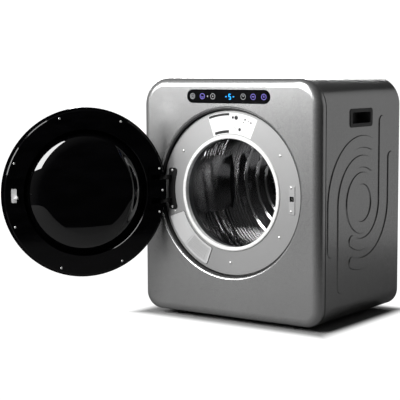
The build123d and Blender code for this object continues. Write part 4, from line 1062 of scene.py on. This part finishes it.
@dataclass
class Fasteners:
    """The screws that show: on the door, in the well, on the back and in the seam."""

    door_head: float = 3.3 * MM
    well_head: float = 3.8 * MM
    back_head: float = 3.5 * MM

    def build(self) -> None:
        """Replace the plain screws by cross-head ones."""
        template = ScrewTemplate().build()
        sets = (
            ("door_screw_set", "door", "door_screws", self.door_seats(), 4),
            ("well_screw_set", "cabinet", "well_screws",
             self.seats_of("well_screws", FRONTWARD, self.well_head), 7),
            ("cabinet_screw_set", "cabinet", "cabinet_screws",
             self.seats_of("cabinet_screws", BACKWARD, self.back_head), 9),
        )
        for name, body, node, seats, turn_seed in sets:
            place_on(scatter(name, template, seats, NICKEL, turn_seed), body, NICKEL, "screw_steel", node)
        drop(template)

    def door_seats(self) -> list[Seat]:
        """Seats on the door's inner ring, in the open door."""
        outward = DATUM.opened().to_3x3() @ BACKWARD
        return [Seat(part.seat(outward), outward, self.door_head) for part in loose_parts("door_screws")]

    def seats_of(self, node: str, outward: Vector, head: float) -> list[Seat]:
        """Find the seats of the screws of a CAD node.

        Args:
            node: Name of the node.
            outward: The way that most of its screws face.
            head: Largest radius of a head.

        Returns:
            One seat for each screw.
        """
        seats = []
        for part in loose_parts(node):
            facing = part.long_axis() if part.leans(outward) else outward
            seats.append(Seat(part.seat(facing), facing, min(head, part.head_radius(facing))))
        return seats


@dataclass
class LoosePart:
    """One separate screw of a CAD node, as its points."""

    points: list[Vector]
    end_reach: float = 4 * MM
    top_reach: float = 0.1 * MM
    squat_share: float = 0.7
    head_share: float = 0.45

    def middle(self) -> Vector:
        """Mean of the points."""
        return sum(self.points, Vector()) / len(self.points)

    def long_axis(self) -> Vector:
        """Direction from the end with few points to the end with more, which is the head.

        Returns:
            The direction, one unit long.
        """
        centre = self.middle()
        far = max(self.points, key=lambda p: (p - centre).length)
        ends = [far, max(self.points, key=lambda p: (p - far).length)]
        spread = [sum(1 for p in self.points if (p - end).length < self.end_reach) for end in ends]
        head, foot = (ends if spread[0] >= spread[1] else reversed(ends))
        return (head - foot).normalized()

    def leans(self, outward: Vector) -> bool:
        """Whether the screw points another way than the given one.

        Args:
            outward: The way that most screws of the node face.

        Returns:
            True where it leans.
        """
        reach = [p.dot(outward) for p in self.points]
        span = max(reach) - min(reach)
        widest = max((p - self.points[0]).length for p in self.points)
        return span < self.squat_share * widest

    def head_radius(self, outward: Vector) -> float:
        """Largest distance of a point from the axis."""
        top = self.top_centre(outward)
        return max(((p - top) - outward * (p - top).dot(outward)).length for p in self.points)

    def top_centre(self, outward: Vector) -> Vector:
        """Middle of the points at the outer end.

        Args:
            outward: The way that the screw faces.

        Returns:
            The middle.
        """
        highest = max(p.dot(outward) for p in self.points)
        top = [p for p in self.points if p.dot(outward) > highest - self.top_reach]
        return sum(top, Vector()) / len(top)

    def seat(self, outward: Vector) -> Vector:
        """Point under the middle of the head, where the head meets what it holds."""
        return self.top_centre(outward) - outward * self.head_share * self.head_radius(outward)


def loose_parts(node: str) -> list[LoosePart]:
    """Split a CAD node into its separate solids.

    Args:
        node: Name of the node.

    Returns:
        One entry for each solid.
    """
    shape = bmesh.new()
    shape.from_mesh(frame["nodes"][node].data)
    bmesh.ops.remove_doubles(shape, verts=shape.verts, dist=1e-6)
    left = set(shape.verts)
    parts = []
    while left:
        stack = [left.pop()]
        found = []
        while stack:
            vert = stack.pop()
            found.append(vert.co.copy())
            for edge in vert.link_edges:
                other = edge.other_vert(vert)
                if other in left:
                    left.remove(other)
                    stack.append(other)
        parts.append(LoosePart(found))
    shape.free()
    return parts


@dataclass
class DoorWell:
    """Recess behind the door: trim, pressed ring, porthole ring and latch."""

    ring_inner: float = 154 * MM
    ring_outer: float = 165 * MM
    ring_front: float = 11.6 * MM
    ring_back: float = 26 * MM
    well_face: float = 15 * MM
    ring_inner_round: float = 2.2 * MM
    ring_outer_round: float = 3.2 * MM
    clip_wall: float = 1.8 * MM
    face_gap: float = 0.1 * MM

    def build(self) -> None:
        """Dress the well and replace its porthole ring and latch spring."""
        dress(RING_LACQUER, "well_ring")
        dress(BLACK_GRAIN, "well_trim", "latch_housing", "door_switch")
        dress(DARK_PLASTIC, "front_bulkhead")
        dress(SATIN_PLATE, "latch_plate")
        dress(NYLON, "latch_pawl", "switch_plunger")
        dress(FELT, "drum_felt")
        place_on(self.ring(), "cabinet", WHITE_PLASTIC, "ring_white", "porthole_ring")
        self.spring()

    def ring(self) -> bpy.types.Object:
        """White ring with rounded edges and a clip that reaches back into the sleeve.

        Returns:
            The ring.
        """
        seat, clip = self.well_face - self.face_gap, self.ring_inner + self.clip_wall
        outline = rounded((
            (self.ring_inner, self.ring_front, self.ring_inner_round),
            (self.ring_outer, self.ring_front, self.ring_outer_round),
            (self.ring_outer, seat), (clip, seat), (clip, self.ring_back),
            (self.ring_inner, self.ring_back)))
        return lathe("porthole_ring_moulding", outline, DATUM.axis_x, DATUM.axis_z)

    def spring(self) -> None:
        """Give the latch a smooth copy of its spring, with a mesh of its own."""
        shape = bmesh.new()
        shape.from_mesh(frame["nodes"]["latch_spring"].data)
        coil = mesh_piece("latch_spring_coil", shape)
        place_on(coil, "cabinet", SATIN_STEEL, "plain_steel", "latch_spring")
        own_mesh(coil)


@dataclass(frozen=True)
class Spot:
    """A small plain shape on the label: its place about the porthole axis, its size and its sides."""

    degrees: float
    radius: float
    size: float
    sides: int


@dataclass
class InstructionLabel:
    """White sheet above the porthole, with plain bars, lines and marks in place of print."""

    inner: float = 168.5 * MM
    outer: float = 227 * MM
    left: float = 109.6
    right: float = 66.4
    split: float = 90.2
    depth: float = 14.95 * MM
    paper: float = 0.15 * MM
    ink: float = 0.03 * MM
    top_bar: tuple[float, float] = (219 * MM, 225.8 * MM)
    bottom_bar: tuple[float, float] = (170 * MM, 178 * MM)
    spots: tuple[Spot, ...] = (
        Spot(84.6, 214 * MM, 6.12 * MM, 16), Spot(87.6, 214 * MM, 4.08 * MM, 6),
        Spot(76.5, 214 * MM, 3.4 * MM, 4), Spot(73.4, 212 * MM, 2.55 * MM, 3),
        Spot(70.8, 211 * MM, 3.23 * MM, 4), Spot(80.0, 183 * MM, 5.1 * MM, 5),
        Spot(85.0, 185 * MM, 2.55 * MM, 3), Spot(77.2, 205 * MM, 2.04 * MM, 6))

    def build(self) -> None:
        """Build the sheet and its generic marks."""
        centre = (DATUM.axis_x, DATUM.axis_z)
        sheet = Inlay(self.depth, self.paper)
        sheet.arc(*centre, self.inner, self.outer, self.right, self.left, 40)
        place_on(sheet.piece("label_sheet"), "cabinet", LABEL_PAPER, "ring_white")
        dark = Inlay(self.depth - self.paper, self.ink)
        dark.arc(*centre, *self.top_bar, self.split + 0.6, self.left - 0.4)
        dark.arc(*centre, *self.bottom_bar, self.split + 1.2, self.left - 2.2)
        for spot in self.spots:
            place = DATUM.polar(spot.radius, spot.degrees, 0)
            dark.disc(place.x, place.z, spot.size, spot.sides)
        place_on(dark.piece("label_print_dark"), "cabinet", PRINT_BLACK, "lens_black")
        place_on(self.pale_lines(), "cabinet", PRINT_GREY, "filter_grey")

    def pale_lines(self) -> bpy.types.Object:
        """Thin grey lines of uneven length, on both halves.

        Returns:
            The lines as one piece.
        """
        centre = (DATUM.axis_x, DATUM.axis_z)
        pale = Inlay(self.depth - self.paper, self.ink)
        for i in range(6):
            radius = self.inner + (13 + 6 * i) * MM
            pale.arc(*centre, radius, radius + 0.8 * MM, self.split + 2, self.left - 2.5 - (i % 3) * 2.5)
        for i in range(7):
            radius = self.inner + (9 + 6.5 * i) * MM
            pale.arc(*centre, radius, radius + 0.6 * MM, self.right + 2.5 + (i % 2) * 4, self.split - 2)
        return pale.piece("label_print_pale")


@dataclass
class ControlPanel:
    """Pill-shaped black panel with lit rings and a display."""

    middle_z: float = 642 * MM
    grey_keys: tuple[float, float, float] = (-119 * MM, -49 * MM, 54 * MM)
    violet_keys: tuple[float, float, float] = (-85 * MM, 87 * MM, 122 * MM)
    link_x: float = -67 * MM
    ring_radius: float = 8.2 * MM
    stroke: float = 1.15 * MM
    broad_stroke: float = 1.7 * MM
    digit_x: float = 9 * MM
    digit_width: float = 8.4 * MM
    digit_height: float = 16 * MM
    digit_stroke: float = 2.3 * MM
    dash_reach: float = 12.5 * MM
    light_rise: float = 0.06 * MM

    def build(self) -> None:
        """Dress the lens and add its marks."""
        dress(LENS_BLACK, "control_lens")
        dress(BOARD_GREEN, "control_board", "power_board")
        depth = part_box("control_lens")[0].y - DATUM.front_y
        grey_layer, violet_layer, blue_layer = (Inlay(depth, self.light_rise) for _ in range(3))
        self.rings(grey_layer, self.grey_keys)
        self.rings(violet_layer, self.violet_keys)
        self.grey_signs(grey_layer)
        self.violet_signs(violet_layer)
        self.digit(blue_layer)
        place_on(grey_layer.piece("control_marks_grey"), "cabinet", GREY_LIGHT, "lens_black")
        place_on(violet_layer.piece("control_marks_violet"), "cabinet", VIOLET_LIGHT, "lens_black")
        place_on(blue_layer.piece("control_display"), "cabinet", BLUE_LIGHT, "lens_black")

    def rings(self, layer: Inlay, keys: Sequence[float]) -> None:
        """Add the rings of a row of keys."""
        for x in keys:
            layer.arc(x, self.middle_z, self.ring_radius - self.stroke, self.ring_radius, 0, 360, 40)

    def grey_signs(self, layer: Inlay) -> None:
        """Add a plain sign in each grey ring, and the small square between two keys.

        Args:
            layer: Inlay of the grey marks.
        """
        z, stroke, lean = self.middle_z, self.stroke, 30
        broken_ring, cross, wedge = self.grey_keys
        layer.bar(broken_ring, z + 2.2 * MM, stroke, 5 * MM)
        layer.arc(broken_ring, z, 3.6 * MM, 4.6 * MM, -230, 50, 20)
        layer.bar(cross, z, 5 * MM, stroke)
        layer.bar(cross, z, stroke, 5 * MM)
        for side in (-1, 1):
            layer.bar(wedge + side * 1.2 * MM, z + 1.6 * MM, stroke, 5.5 * MM, -side * lean)
        layer.bar(self.link_x, z, 3.6 * MM, 3.6 * MM, 45)

    def violet_signs(self, layer: Inlay) -> None:
        """Add a plain sign in each violet ring.

        Args:
            layer: Inlay of the violet marks.
        """
        z = self.middle_z
        bowl, bar, dotted_bar = self.violet_keys
        layer.arc(bowl, z + 1.5 * MM, 3.6 * MM, 4.8 * MM, 200, 340, 14)
        layer.bar(bar, z, 7.5 * MM, self.broad_stroke)
        layer.bar(dotted_bar, z, 4.6 * MM, self.broad_stroke)
        layer.disc(dotted_bar, z + 3 * MM, 1.0 * MM, 12)

    def digit(self, layer: Inlay) -> None:
        """Add a plain seven-segment five with a dash on each side.

        Args:
            layer: Inlay of the blue marks.
        """
        wide, high, stroke = self.digit_width, self.digit_height, self.digit_stroke
        x, z = self.digit_x, self.middle_z - 0.5 * MM
        for rise in (-1, 0, 1):
            layer.bar(x, z + rise * (high - stroke) / 2, wide - stroke, stroke)
        for side in (-1, 1):
            layer.bar(x + side * (wide - stroke) / 2, z - side * (high - stroke) / 4, stroke,
                      high / 2 - stroke * 0.4)
        for side in (-1, 1):
            layer.bar(x + side * self.dash_reach, z, 4.6 * MM, 2.6 * MM)


@dataclass
class LintFilter:
    """Cover of the lint filter, with ribs on its lower half in a darker grey of painted shade."""

    inner: float = 179 * MM
    outer: float = 218 * MM
    start: float = 226.6
    end: float = 246.6
    columns: int = 18
    bar: float = 0.9 * MM
    bar_rise: float = 0.7 * MM
    bar_sink: float = 0.1 * MM

    def build(self) -> None:
        """Dress the filter and add its ribs."""
        dress(FILTER_PLASTIC, "filter_cover")
        dress(LINT_MESH, "filter_mesh")
        # The ribs wear the darker grey of painted shade.
        place_on(self.grid(), "filter", FILTER_RIB_PAINTED_SHADE, "filter_grey")

    def grid(self) -> bpy.types.Object:
        """Raised radial bars on the lower half of the cover, drawn by a geometry tree; their darker grey is
        painted shade.

        Returns:
            The bars as one piece.
        """
        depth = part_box("filter_cover")[0].y
        sheet = GeometrySheet("filter_grid_tree", (
            ("Columns", "NodeSocketInt"), ("Start", FLOAT), ("Step", FLOAT), ("Inner", FLOAT),
            ("Outer", FLOAT), ("Bar", FLOAT)))
        line = sheet.add("GeometryNodeMeshLine")
        sheet.join(sheet.entry.outputs["Columns"], line.inputs["Count"])
        cube = sheet.add("GeometryNodeMeshCube")
        box = sheet.add("ShaderNodeCombineXYZ", in_Y=self.bar_rise)
        span = sheet.maths("SUBTRACT", sheet.entry.outputs["Outer"], sheet.entry.outputs["Inner"])
        sheet.join(span, box.inputs["X"])
        sheet.join(sheet.entry.outputs["Bar"], box.inputs["Z"])
        sheet.join(box.outputs[0], cube.inputs["Size"])
        index = sheet.add("GeometryNodeInputIndex").outputs[0]
        angle = sheet.maths("ADD", sheet.entry.outputs["Start"],
                            sheet.maths("MULTIPLY", index, sheet.entry.outputs["Step"]))
        reach = sheet.maths("MULTIPLY", sheet.maths("ADD", sheet.entry.outputs["Outer"],
                                                    sheet.entry.outputs["Inner"]), 0.5)
        place = sheet.add("ShaderNodeCombineXYZ", in_Y=depth + self.bar_sink)
        across = sheet.maths("MULTIPLY", reach, sheet.maths("COSINE", angle))
        above = sheet.maths("MULTIPLY", reach, sheet.maths("SINE", angle))
        sheet.join(sheet.maths("ADD", across, DATUM.axis_x), place.inputs["X"])
        sheet.join(sheet.maths("ADD", above, DATUM.axis_z), place.inputs["Z"])
        moved = sheet.add("GeometryNodeSetPosition")
        sheet.join(line.outputs[0], moved.inputs["Geometry"])
        sheet.join(place.outputs[0], moved.inputs["Position"])
        lean = sheet.add("ShaderNodeCombineXYZ")
        sheet.join(sheet.maths("MULTIPLY", angle, -1.0), lean.inputs["Y"])
        copies = sheet.add("GeometryNodeInstanceOnPoints")
        sheet.join(moved.outputs[0], copies.inputs["Points"])
        sheet.join(cube.outputs[0], copies.inputs["Instance"])
        sheet.join(lean.outputs[0], copies.inputs["Rotation"])
        # The bars get the darker grey of painted shade.
        sheet.finish_with(copies.outputs[0], FILTER_RIB_PAINTED_SHADE)
        step = math.radians(self.end - self.start) / (self.columns - 1)
        return sheet.baked(base_of("filter_grid_base"), "filter_grid", {
            "Columns": self.columns, "Start": math.radians(self.start), "Step": step,
            "Inner": self.inner, "Outer": self.outer, "Bar": self.bar})


@dataclass
class Door:
    """The open door: bezel, outer lens, inner ring, glass bowl, striker and hinge."""

    window_radius: float = 198.7 * MM
    window_edge: float = -22.6 * MM
    window_crown: float = -33.6 * MM
    window_back: float = -17 * MM
    window_seat: float = -19.8 * MM
    window_flange: float = 6.8 * MM
    flange_wall: float = 2.1 * MM
    flange_step: float = 6 * MM
    window_wall: float = 3.5 * MM
    window_steps: int = 14
    rim_radius: float = 180 * MM
    plate_radius: float = 144 * MM
    shoulder: float = 72 * MM
    rim_depth: float = 7.2 * MM
    edge_depth: float = -17 * MM
    crown_depth: float = 21 * MM
    bowl_wall: float = 4 * MM
    flat_share: float = 0.4
    crown_fall: float = 0.6 * MM
    collar_gap: float = 3.6 * MM
    collar_wall: float = 3 * MM
    collar_floor: float = 1 * MM
    shoulder_steps: int = 16
    segments: int = 224

    def build(self) -> None:
        """Dress the door and replace its glass by smooth pieces."""
        dress(BLACK_GLOSS, "door_bezel", "door_inner_ring")
        dress(HINGE_BLACK, "hinge_base", "hinge_leaf")
        dress(SATIN_STEEL, "hinge_pin")
        dress(ZINC_PLATE, "striker")
        bowl = self.swung(self.bowl())
        place_on(bowl, "door", BLACK_GLASS, "bowl_dark", "door_bowl")
        window = self.swung(self.window())
        place_on(window, "door", BLACK_GLASS, "window_dark", "door_window")

    def swung(self, piece: bpy.types.Object) -> bpy.types.Object:
        """Turn a piece drawn on the closed door to the open door."""
        piece.data.transform(DATUM.opened())
        return piece

    def bowl(self) -> bpy.types.Object:
        """Glass bowl: flat in the middle, with a round shoulder that dives under the ring.

        Returns:
            The bowl of the closed door.
        """
        crown, wall, low, rim = self.crown_depth, self.bowl_wall, self.edge_depth, self.rim_depth
        plate, flat = self.plate_radius, self.plate_radius * self.flat_share
        edge = self.rim_radius + self.collar_gap
        back, floor = edge + self.collar_wall, low - self.collar_floor
        outline = [(0.0, crown)]
        outline += rounded((
            (flat, crown), (plate, crown - self.crown_fall, self.shoulder), (edge, low), (edge, rim),
            (back, rim), (back, floor), (edge - 1.5 * wall, floor),
            (plate - 0.4 * wall, crown - wall, self.shoulder - wall), (flat, crown - wall)),
            self.shoulder_steps)
        outline.append((0.0, crown - wall))
        return lathe("door_bowl_glass", outline, DATUM.axis_x, DATUM.axis_z, self.segments)

    def window(self) -> bpy.types.Object:
        """Domed outer lens with a flange behind it.

        Returns:
            The lens of the closed door.
        """
        radius, seat, steps = self.window_radius, self.window_seat, self.window_steps
        inner_radius, rim = radius - self.flange_step, radius + self.window_flange
        outer = [(radius * i / steps, self.dome(self.window_crown, self.window_edge, i / steps))
                 for i in range(steps + 1)]
        side = [(radius, seat), (rim, seat), (rim, seat + self.flange_wall),
                (inner_radius, self.window_back)]
        inner_crown = self.window_crown + self.window_wall
        inner = [(inner_radius * i / steps, self.dome(inner_crown, self.window_back, i / steps))
                 for i in range(steps - 1, -1, -1)]
        return lathe("door_window_glass", outer + side + inner, DATUM.axis_x, DATUM.axis_z, self.segments)

    @staticmethod
    def dome(crown: float, edge: float, share: float) -> float:
        """Depth of a parabolic dome at a share of its radius."""
        return crown + (edge - crown) * share ** 2


@dataclass
class Drum:
    """Steel drum: ribbed wall, beaded rear wall, lifters and shaft."""

    radius: float = 252 * MM
    wall: float = 1.2 * MM
    front: float = 56 * MM
    back: float = 405 * MM
    bead_height: float = 2.8 * MM
    bead_half: float = 7 * MM
    bead_depths: tuple[float, ...] = (188 * MM, 268 * MM, 294 * MM, 316 * MM)
    ripple_height: float = 0.35 * MM
    ripple_pitch: float = 15.5 * MM
    wall_step: float = 1.8 * MM
    segments: int = 240

    def build(self) -> None:
        """Build the wall by rule and dress the rest."""
        place_on(self.shell(), "drum", DRUM_STEEL, "drum_steel", "drum_shell")
        dress(REAR_STEEL, "drum_rear_wall")
        dress(LIFTER_STEEL, "drum_lifters")
        dress(SATIN_STEEL, "drum_shaft")

    def bead(self, depth: float) -> float:
        """Work out the rise of the wall, over the fine ripple that rolling leaves.

        Args:
            depth: Depth behind the front face.

        Returns:
            How far the wall stands out from its plain radius.
        """
        ripple = self.ripple_height * (1 + math.cos(2 * math.pi * depth / self.ripple_pitch))
        for middle in self.bead_depths:
            offset = abs(depth - middle)
            if offset < self.bead_half:
                return ripple + self.bead_height / 2 * (1 + math.cos(math.pi * offset / self.bead_half))
        return ripple

    def shell(self) -> bpy.types.Object:
        """Drum wall with round-bottomed beads.

        Returns:
            The wall.
        """
        count = int((self.back - self.front) / self.wall_step)
        depths = [self.front + self.wall_step * i for i in range(count)]
        line = [(self.radius + self.bead(depth), depth) for depth in depths] + [(self.radius, self.back)]
        inside = [(radius - self.wall, depth) for radius, depth in reversed(line)]
        return lathe("drum_wall", line + inside, DATUM.axis_x, DATUM.axis_z, self.segments)


@dataclass
class Machinery:
    """What the casing hides: motor, fan, ducts, heater, bearing and belt drive."""

    finishes: dict[Finish, tuple[str, ...]] = field(default_factory=lambda: {
        MOTOR_LACQUER: ("motor_body",),
        ZINC_SHEET: ("motor_bracket", "heater_duct", "idler_post"),
        SATIN_STEEL: ("motor_shaft", "idler_arm"),
        NYLON: ("motor_pulley", "blower_wheel", "idler_roller"),
        DUCT_PLASTIC: ("fan_housing", "air_duct", "exhaust_duct"),
        CAST_ALLOY: ("bearing_housing", "heater_element"),
        BRONZE: ("bearing_bush", "thermostat"),
        BELT_RUBBER: ("drum_belt",),
    })

    def build(self) -> None:
        """Dress every hidden piece."""
        for finish, nodes in self.finishes.items():
            dress(finish, *nodes)


@dataclass(frozen=True)
class Lamp:
    """A rectangular soft light: where it stands, what it points at, its width and height, and its watts."""

    name: str
    place: tuple[float, float, float]
    target: tuple[float, float, float]
    size: tuple[float, float]
    power: float


@dataclass
class Studio:
    """Pale floor with a painted shadow round the cabinet, soft lights and the camera at the photograph's
    angle.
    """

    azimuth: float = 35.761
    elevation: float = 6.010
    roll: float = -0.228
    camera_place: tuple[float, float, float] = (2.0145, -3.1591, 0.7259)
    lens: float = 114.219
    sensor_width: float = 36.0
    floor_radius: float = 1.7
    floor_white: float = 1.1
    # Grey of the lit floor near and under the cabinet; with the two distances below it sets a painted
    # shadow, because the floor glows white farther out.
    painted_shadow_grey: float = 0.3
    floor_bounce: float = 0.14
    # Distances from the cabinet's footprint over which the painted shadow gives way to the white floor.
    painted_shadow_start: float = -0.01
    painted_shadow_end: float = 0.05
    backdrop_white: float = 1.15
    dome_from: tuple[float, float, float] = (-0.75, -0.3, 0.58)
    dome_spread: tuple[float, float] = (-0.15, 0.95)
    dome_strength: tuple[float, float] = (0.005, 0.12)
    lamps: tuple[Lamp, ...] = (
        Lamp("key", (-0.37, -2.27, 2.35), (-0.35, -0.4, 0.5), (1.2, 2.3), 92),
        Lamp("front_left", (-2.05, -2.9, 1.8), (0.0, -0.23, 0.6), (1.6, 1.5), 98),
        Lamp("roof", (-1.5, 2.3, 1.15), (0.0, 0.0, 0.69), (2.2, 0.7), 60),
        Lamp("side", (2.2, 2.4, 0.9), (0.3, 0.0, 0.4), (2.8, 2.6), 7))

    def build(self) -> None:
        """Set up the camera, floor, lights and world."""
        self.camera()
        self.floor()
        for lamp in self.lamps:
            self.light(lamp)
        self.world()
        view = bpy.context.scene.view_settings
        view.view_transform = "Standard"
        view.look = "None"

    def camera(self) -> None:
        """Camera that matches the photograph's view."""
        azimuth, elevation, roll = (math.radians(a) for a in (self.azimuth, self.elevation, self.roll))
        back = Vector((math.sin(azimuth) * math.cos(elevation), -math.cos(azimuth) * math.cos(elevation),
                       math.sin(elevation)))
        right = Vector((0, 0, 1)).cross(back).normalized()
        up = back.cross(right)
        right_rolled = right * math.cos(roll) + up * math.sin(roll)
        up_rolled = up * math.cos(roll) - right * math.sin(roll)
        data = bpy.data.cameras.new("camera")
        data.lens, data.sensor_width = self.lens, self.sensor_width
        camera = bpy.data.objects.new("camera", data)
        bpy.context.scene.collection.objects.link(camera)
        turn = Matrix((right_rolled, up_rolled, back)).transposed().to_4x4()
        camera.matrix_world = Matrix.Translation(self.camera_place) @ turn
        bpy.context.scene.camera = camera

    def floor(self) -> None:
        """Round pale floor under the machine, with a painted shadow: it glows white away from the cabinet
        and is a lit grey near and under it.
        """
        shape = bmesh.new()
        bmesh.ops.create_circle(shape, cap_ends=True, segments=96, radius=self.floor_radius)
        floor = mesh_piece("floor", shape, smooth=False)
        for polygon in floor.data.polygons:
            if polygon.normal.z < 0:
                polygon.flip()
        material = bpy.data.materials.new("pale_floor")
        material.use_nodes = True
        sheet = ShaderSheet(material.node_tree)
        # Lit grey floor of the painted shadow; it also takes the lamps' own shadows.
        shade = sheet.add("ShaderNodeBsdfDiffuse", in_Color=(*grey(self.painted_shadow_grey), 1))
        white = sheet.add("ShaderNodeEmission", in_Strength=self.floor_white)
        # Painted shadow: the footprint mask mixes from the grey floor near the cabinet to the white glow
        # farther out.
        seen = self.mixed(sheet, self.painted_shadow_mask(sheet), shade, white)
        bounce = sheet.add("ShaderNodeBsdfDiffuse", in_Color=(*grey(self.floor_bounce), 1))
        self.split_by_eye(sheet, bounce, seen, "ShaderNodeOutputMaterial")
        floor.data.materials.append(material)

    def painted_shadow_mask(self, sheet: ShaderSheet) -> bpy.types.NodeSocket:
        """Work out how far a floor point lies outside the cabinet's footprint, as the mask of the painted
        shadow.

        Args:
            sheet: Sheet of the floor's material.

        Returns:
            A value that rises smoothly from 0 under the cabinet to 1 a little outside it; 0 gives the
            painted shadow and 1 the white floor.
        """
        place = sheet.add("ShaderNodeSeparateXYZ")
        sheet.join(sheet.add("ShaderNodeTexCoord").outputs["Object"], place.inputs[0])
        low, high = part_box("cabinet_wrapper")
        right = sheet.maths("SUBTRACT", place.outputs["X"], high.x)
        left = sheet.maths("SUBTRACT", low.x, place.outputs["X"])
        front = sheet.maths("SUBTRACT", DATUM.front_y, place.outputs["Y"])
        rear = sheet.maths("SUBTRACT", place.outputs["Y"], high.y)
        away = sheet.maths("MAXIMUM", sheet.maths("MAXIMUM", right, left),
                           sheet.maths("MAXIMUM", front, rear))
        painted_shadow_mask = sheet.add("ShaderNodeMapRange", interpolation_type="SMOOTHSTEP",
                         in_From_Min=self.painted_shadow_start, in_From_Max=self.painted_shadow_end)
        sheet.join(away, painted_shadow_mask.inputs["Value"])
        return painted_shadow_mask.outputs["Result"]

    def light(self, lamp: Lamp) -> None:
        """Add a soft light.

        Args:
            lamp: Where it stands and how it shines.
        """
        data = bpy.data.lights.new(lamp.name, "AREA")
        data.shape, data.size, data.size_y = "RECTANGLE", *lamp.size
        data.energy = lamp.power
        piece = bpy.data.objects.new(lamp.name, data)
        bpy.context.scene.collection.objects.link(piece)
        turn = (Vector(lamp.target) - Vector(lamp.place)).to_track_quat("-Z", "Y")
        piece.matrix_world = Matrix.Translation(lamp.place) @ turn.to_matrix().to_4x4()

    def world(self) -> None:
        """White to the camera, and a dim dome that is lighter to the upper left for all else."""
        world = bpy.data.worlds.new("studio")
        bpy.context.scene.world = world
        world.use_nodes = True
        sheet = ShaderSheet(world.node_tree)
        facing = sheet.add("ShaderNodeVectorMath", operation="DOT_PRODUCT")
        sheet.join(sheet.add("ShaderNodeTexCoord").outputs["Generated"], facing.inputs[0])
        facing.inputs[1].default_value = Vector(self.dome_from).normalized()
        glow = sheet.add("ShaderNodeMapRange", in_From_Min=self.dome_spread[0],
                         in_From_Max=self.dome_spread[1], in_To_Min=self.dome_strength[0],
                         in_To_Max=self.dome_strength[1])
        sheet.join(facing.outputs["Value"], glow.inputs["Value"])
        dome = sheet.add("ShaderNodeBackground", in_Color=(1, 1, 1, 1))
        sheet.join(glow.outputs["Result"], dome.inputs["Strength"])
        white = sheet.add("ShaderNodeBackground", in_Color=(1, 1, 1, 1), in_Strength=self.backdrop_white)
        self.split_by_eye(sheet, dome, white, "ShaderNodeOutputWorld")

    @staticmethod
    def mixed(sheet: ShaderSheet, share: bpy.types.NodeSocket, first: bpy.types.Node,
              second: bpy.types.Node) -> bpy.types.Node:
        """Mix two shaders.

        Args:
            sheet: Sheet being drawn on.
            share: Share of the second shader.
            first: Node of the first shader.
            second: Node of the second shader.

        Returns:
            The Mix Shader node.
        """
        mix = sheet.add("ShaderNodeMixShader")
        sheet.join(share, mix.inputs[0])
        sheet.join(first.outputs[0], mix.inputs[1])
        sheet.join(second.outputs[0], mix.inputs[2])
        return mix

    def split_by_eye(self, sheet: ShaderSheet, others: bpy.types.Node, camera: bpy.types.Node,
                     output: str) -> None:
        """End a tree that shows the camera one shader and every other ray another.

        Args:
            sheet: Sheet being drawn on.
            others: Shader for bounced light and reflections.
            camera: Shader for the camera.
            output: Kind of the output node.
        """
        eye = sheet.add("ShaderNodeLightPath").outputs["Is Camera Ray"]
        choice = self.mixed(sheet, eye, others, camera)
        sheet.join(choice.outputs[0], sheet.add(output).inputs["Surface"])


def main() -> None:
    """Build the dryer's sub-assemblies in order."""
    logging.basicConfig(level=logging.INFO, format="%(name)s: %(message)s")
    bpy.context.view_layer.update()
    for part in (Cabinet(), DoorWell(), InstructionLabel(), ControlPanel(), LintFilter(), Door(), Drum(),
                 Fasteners(), Machinery(), Studio()):
        part.build()


if __name__ == "__main__":
    main()
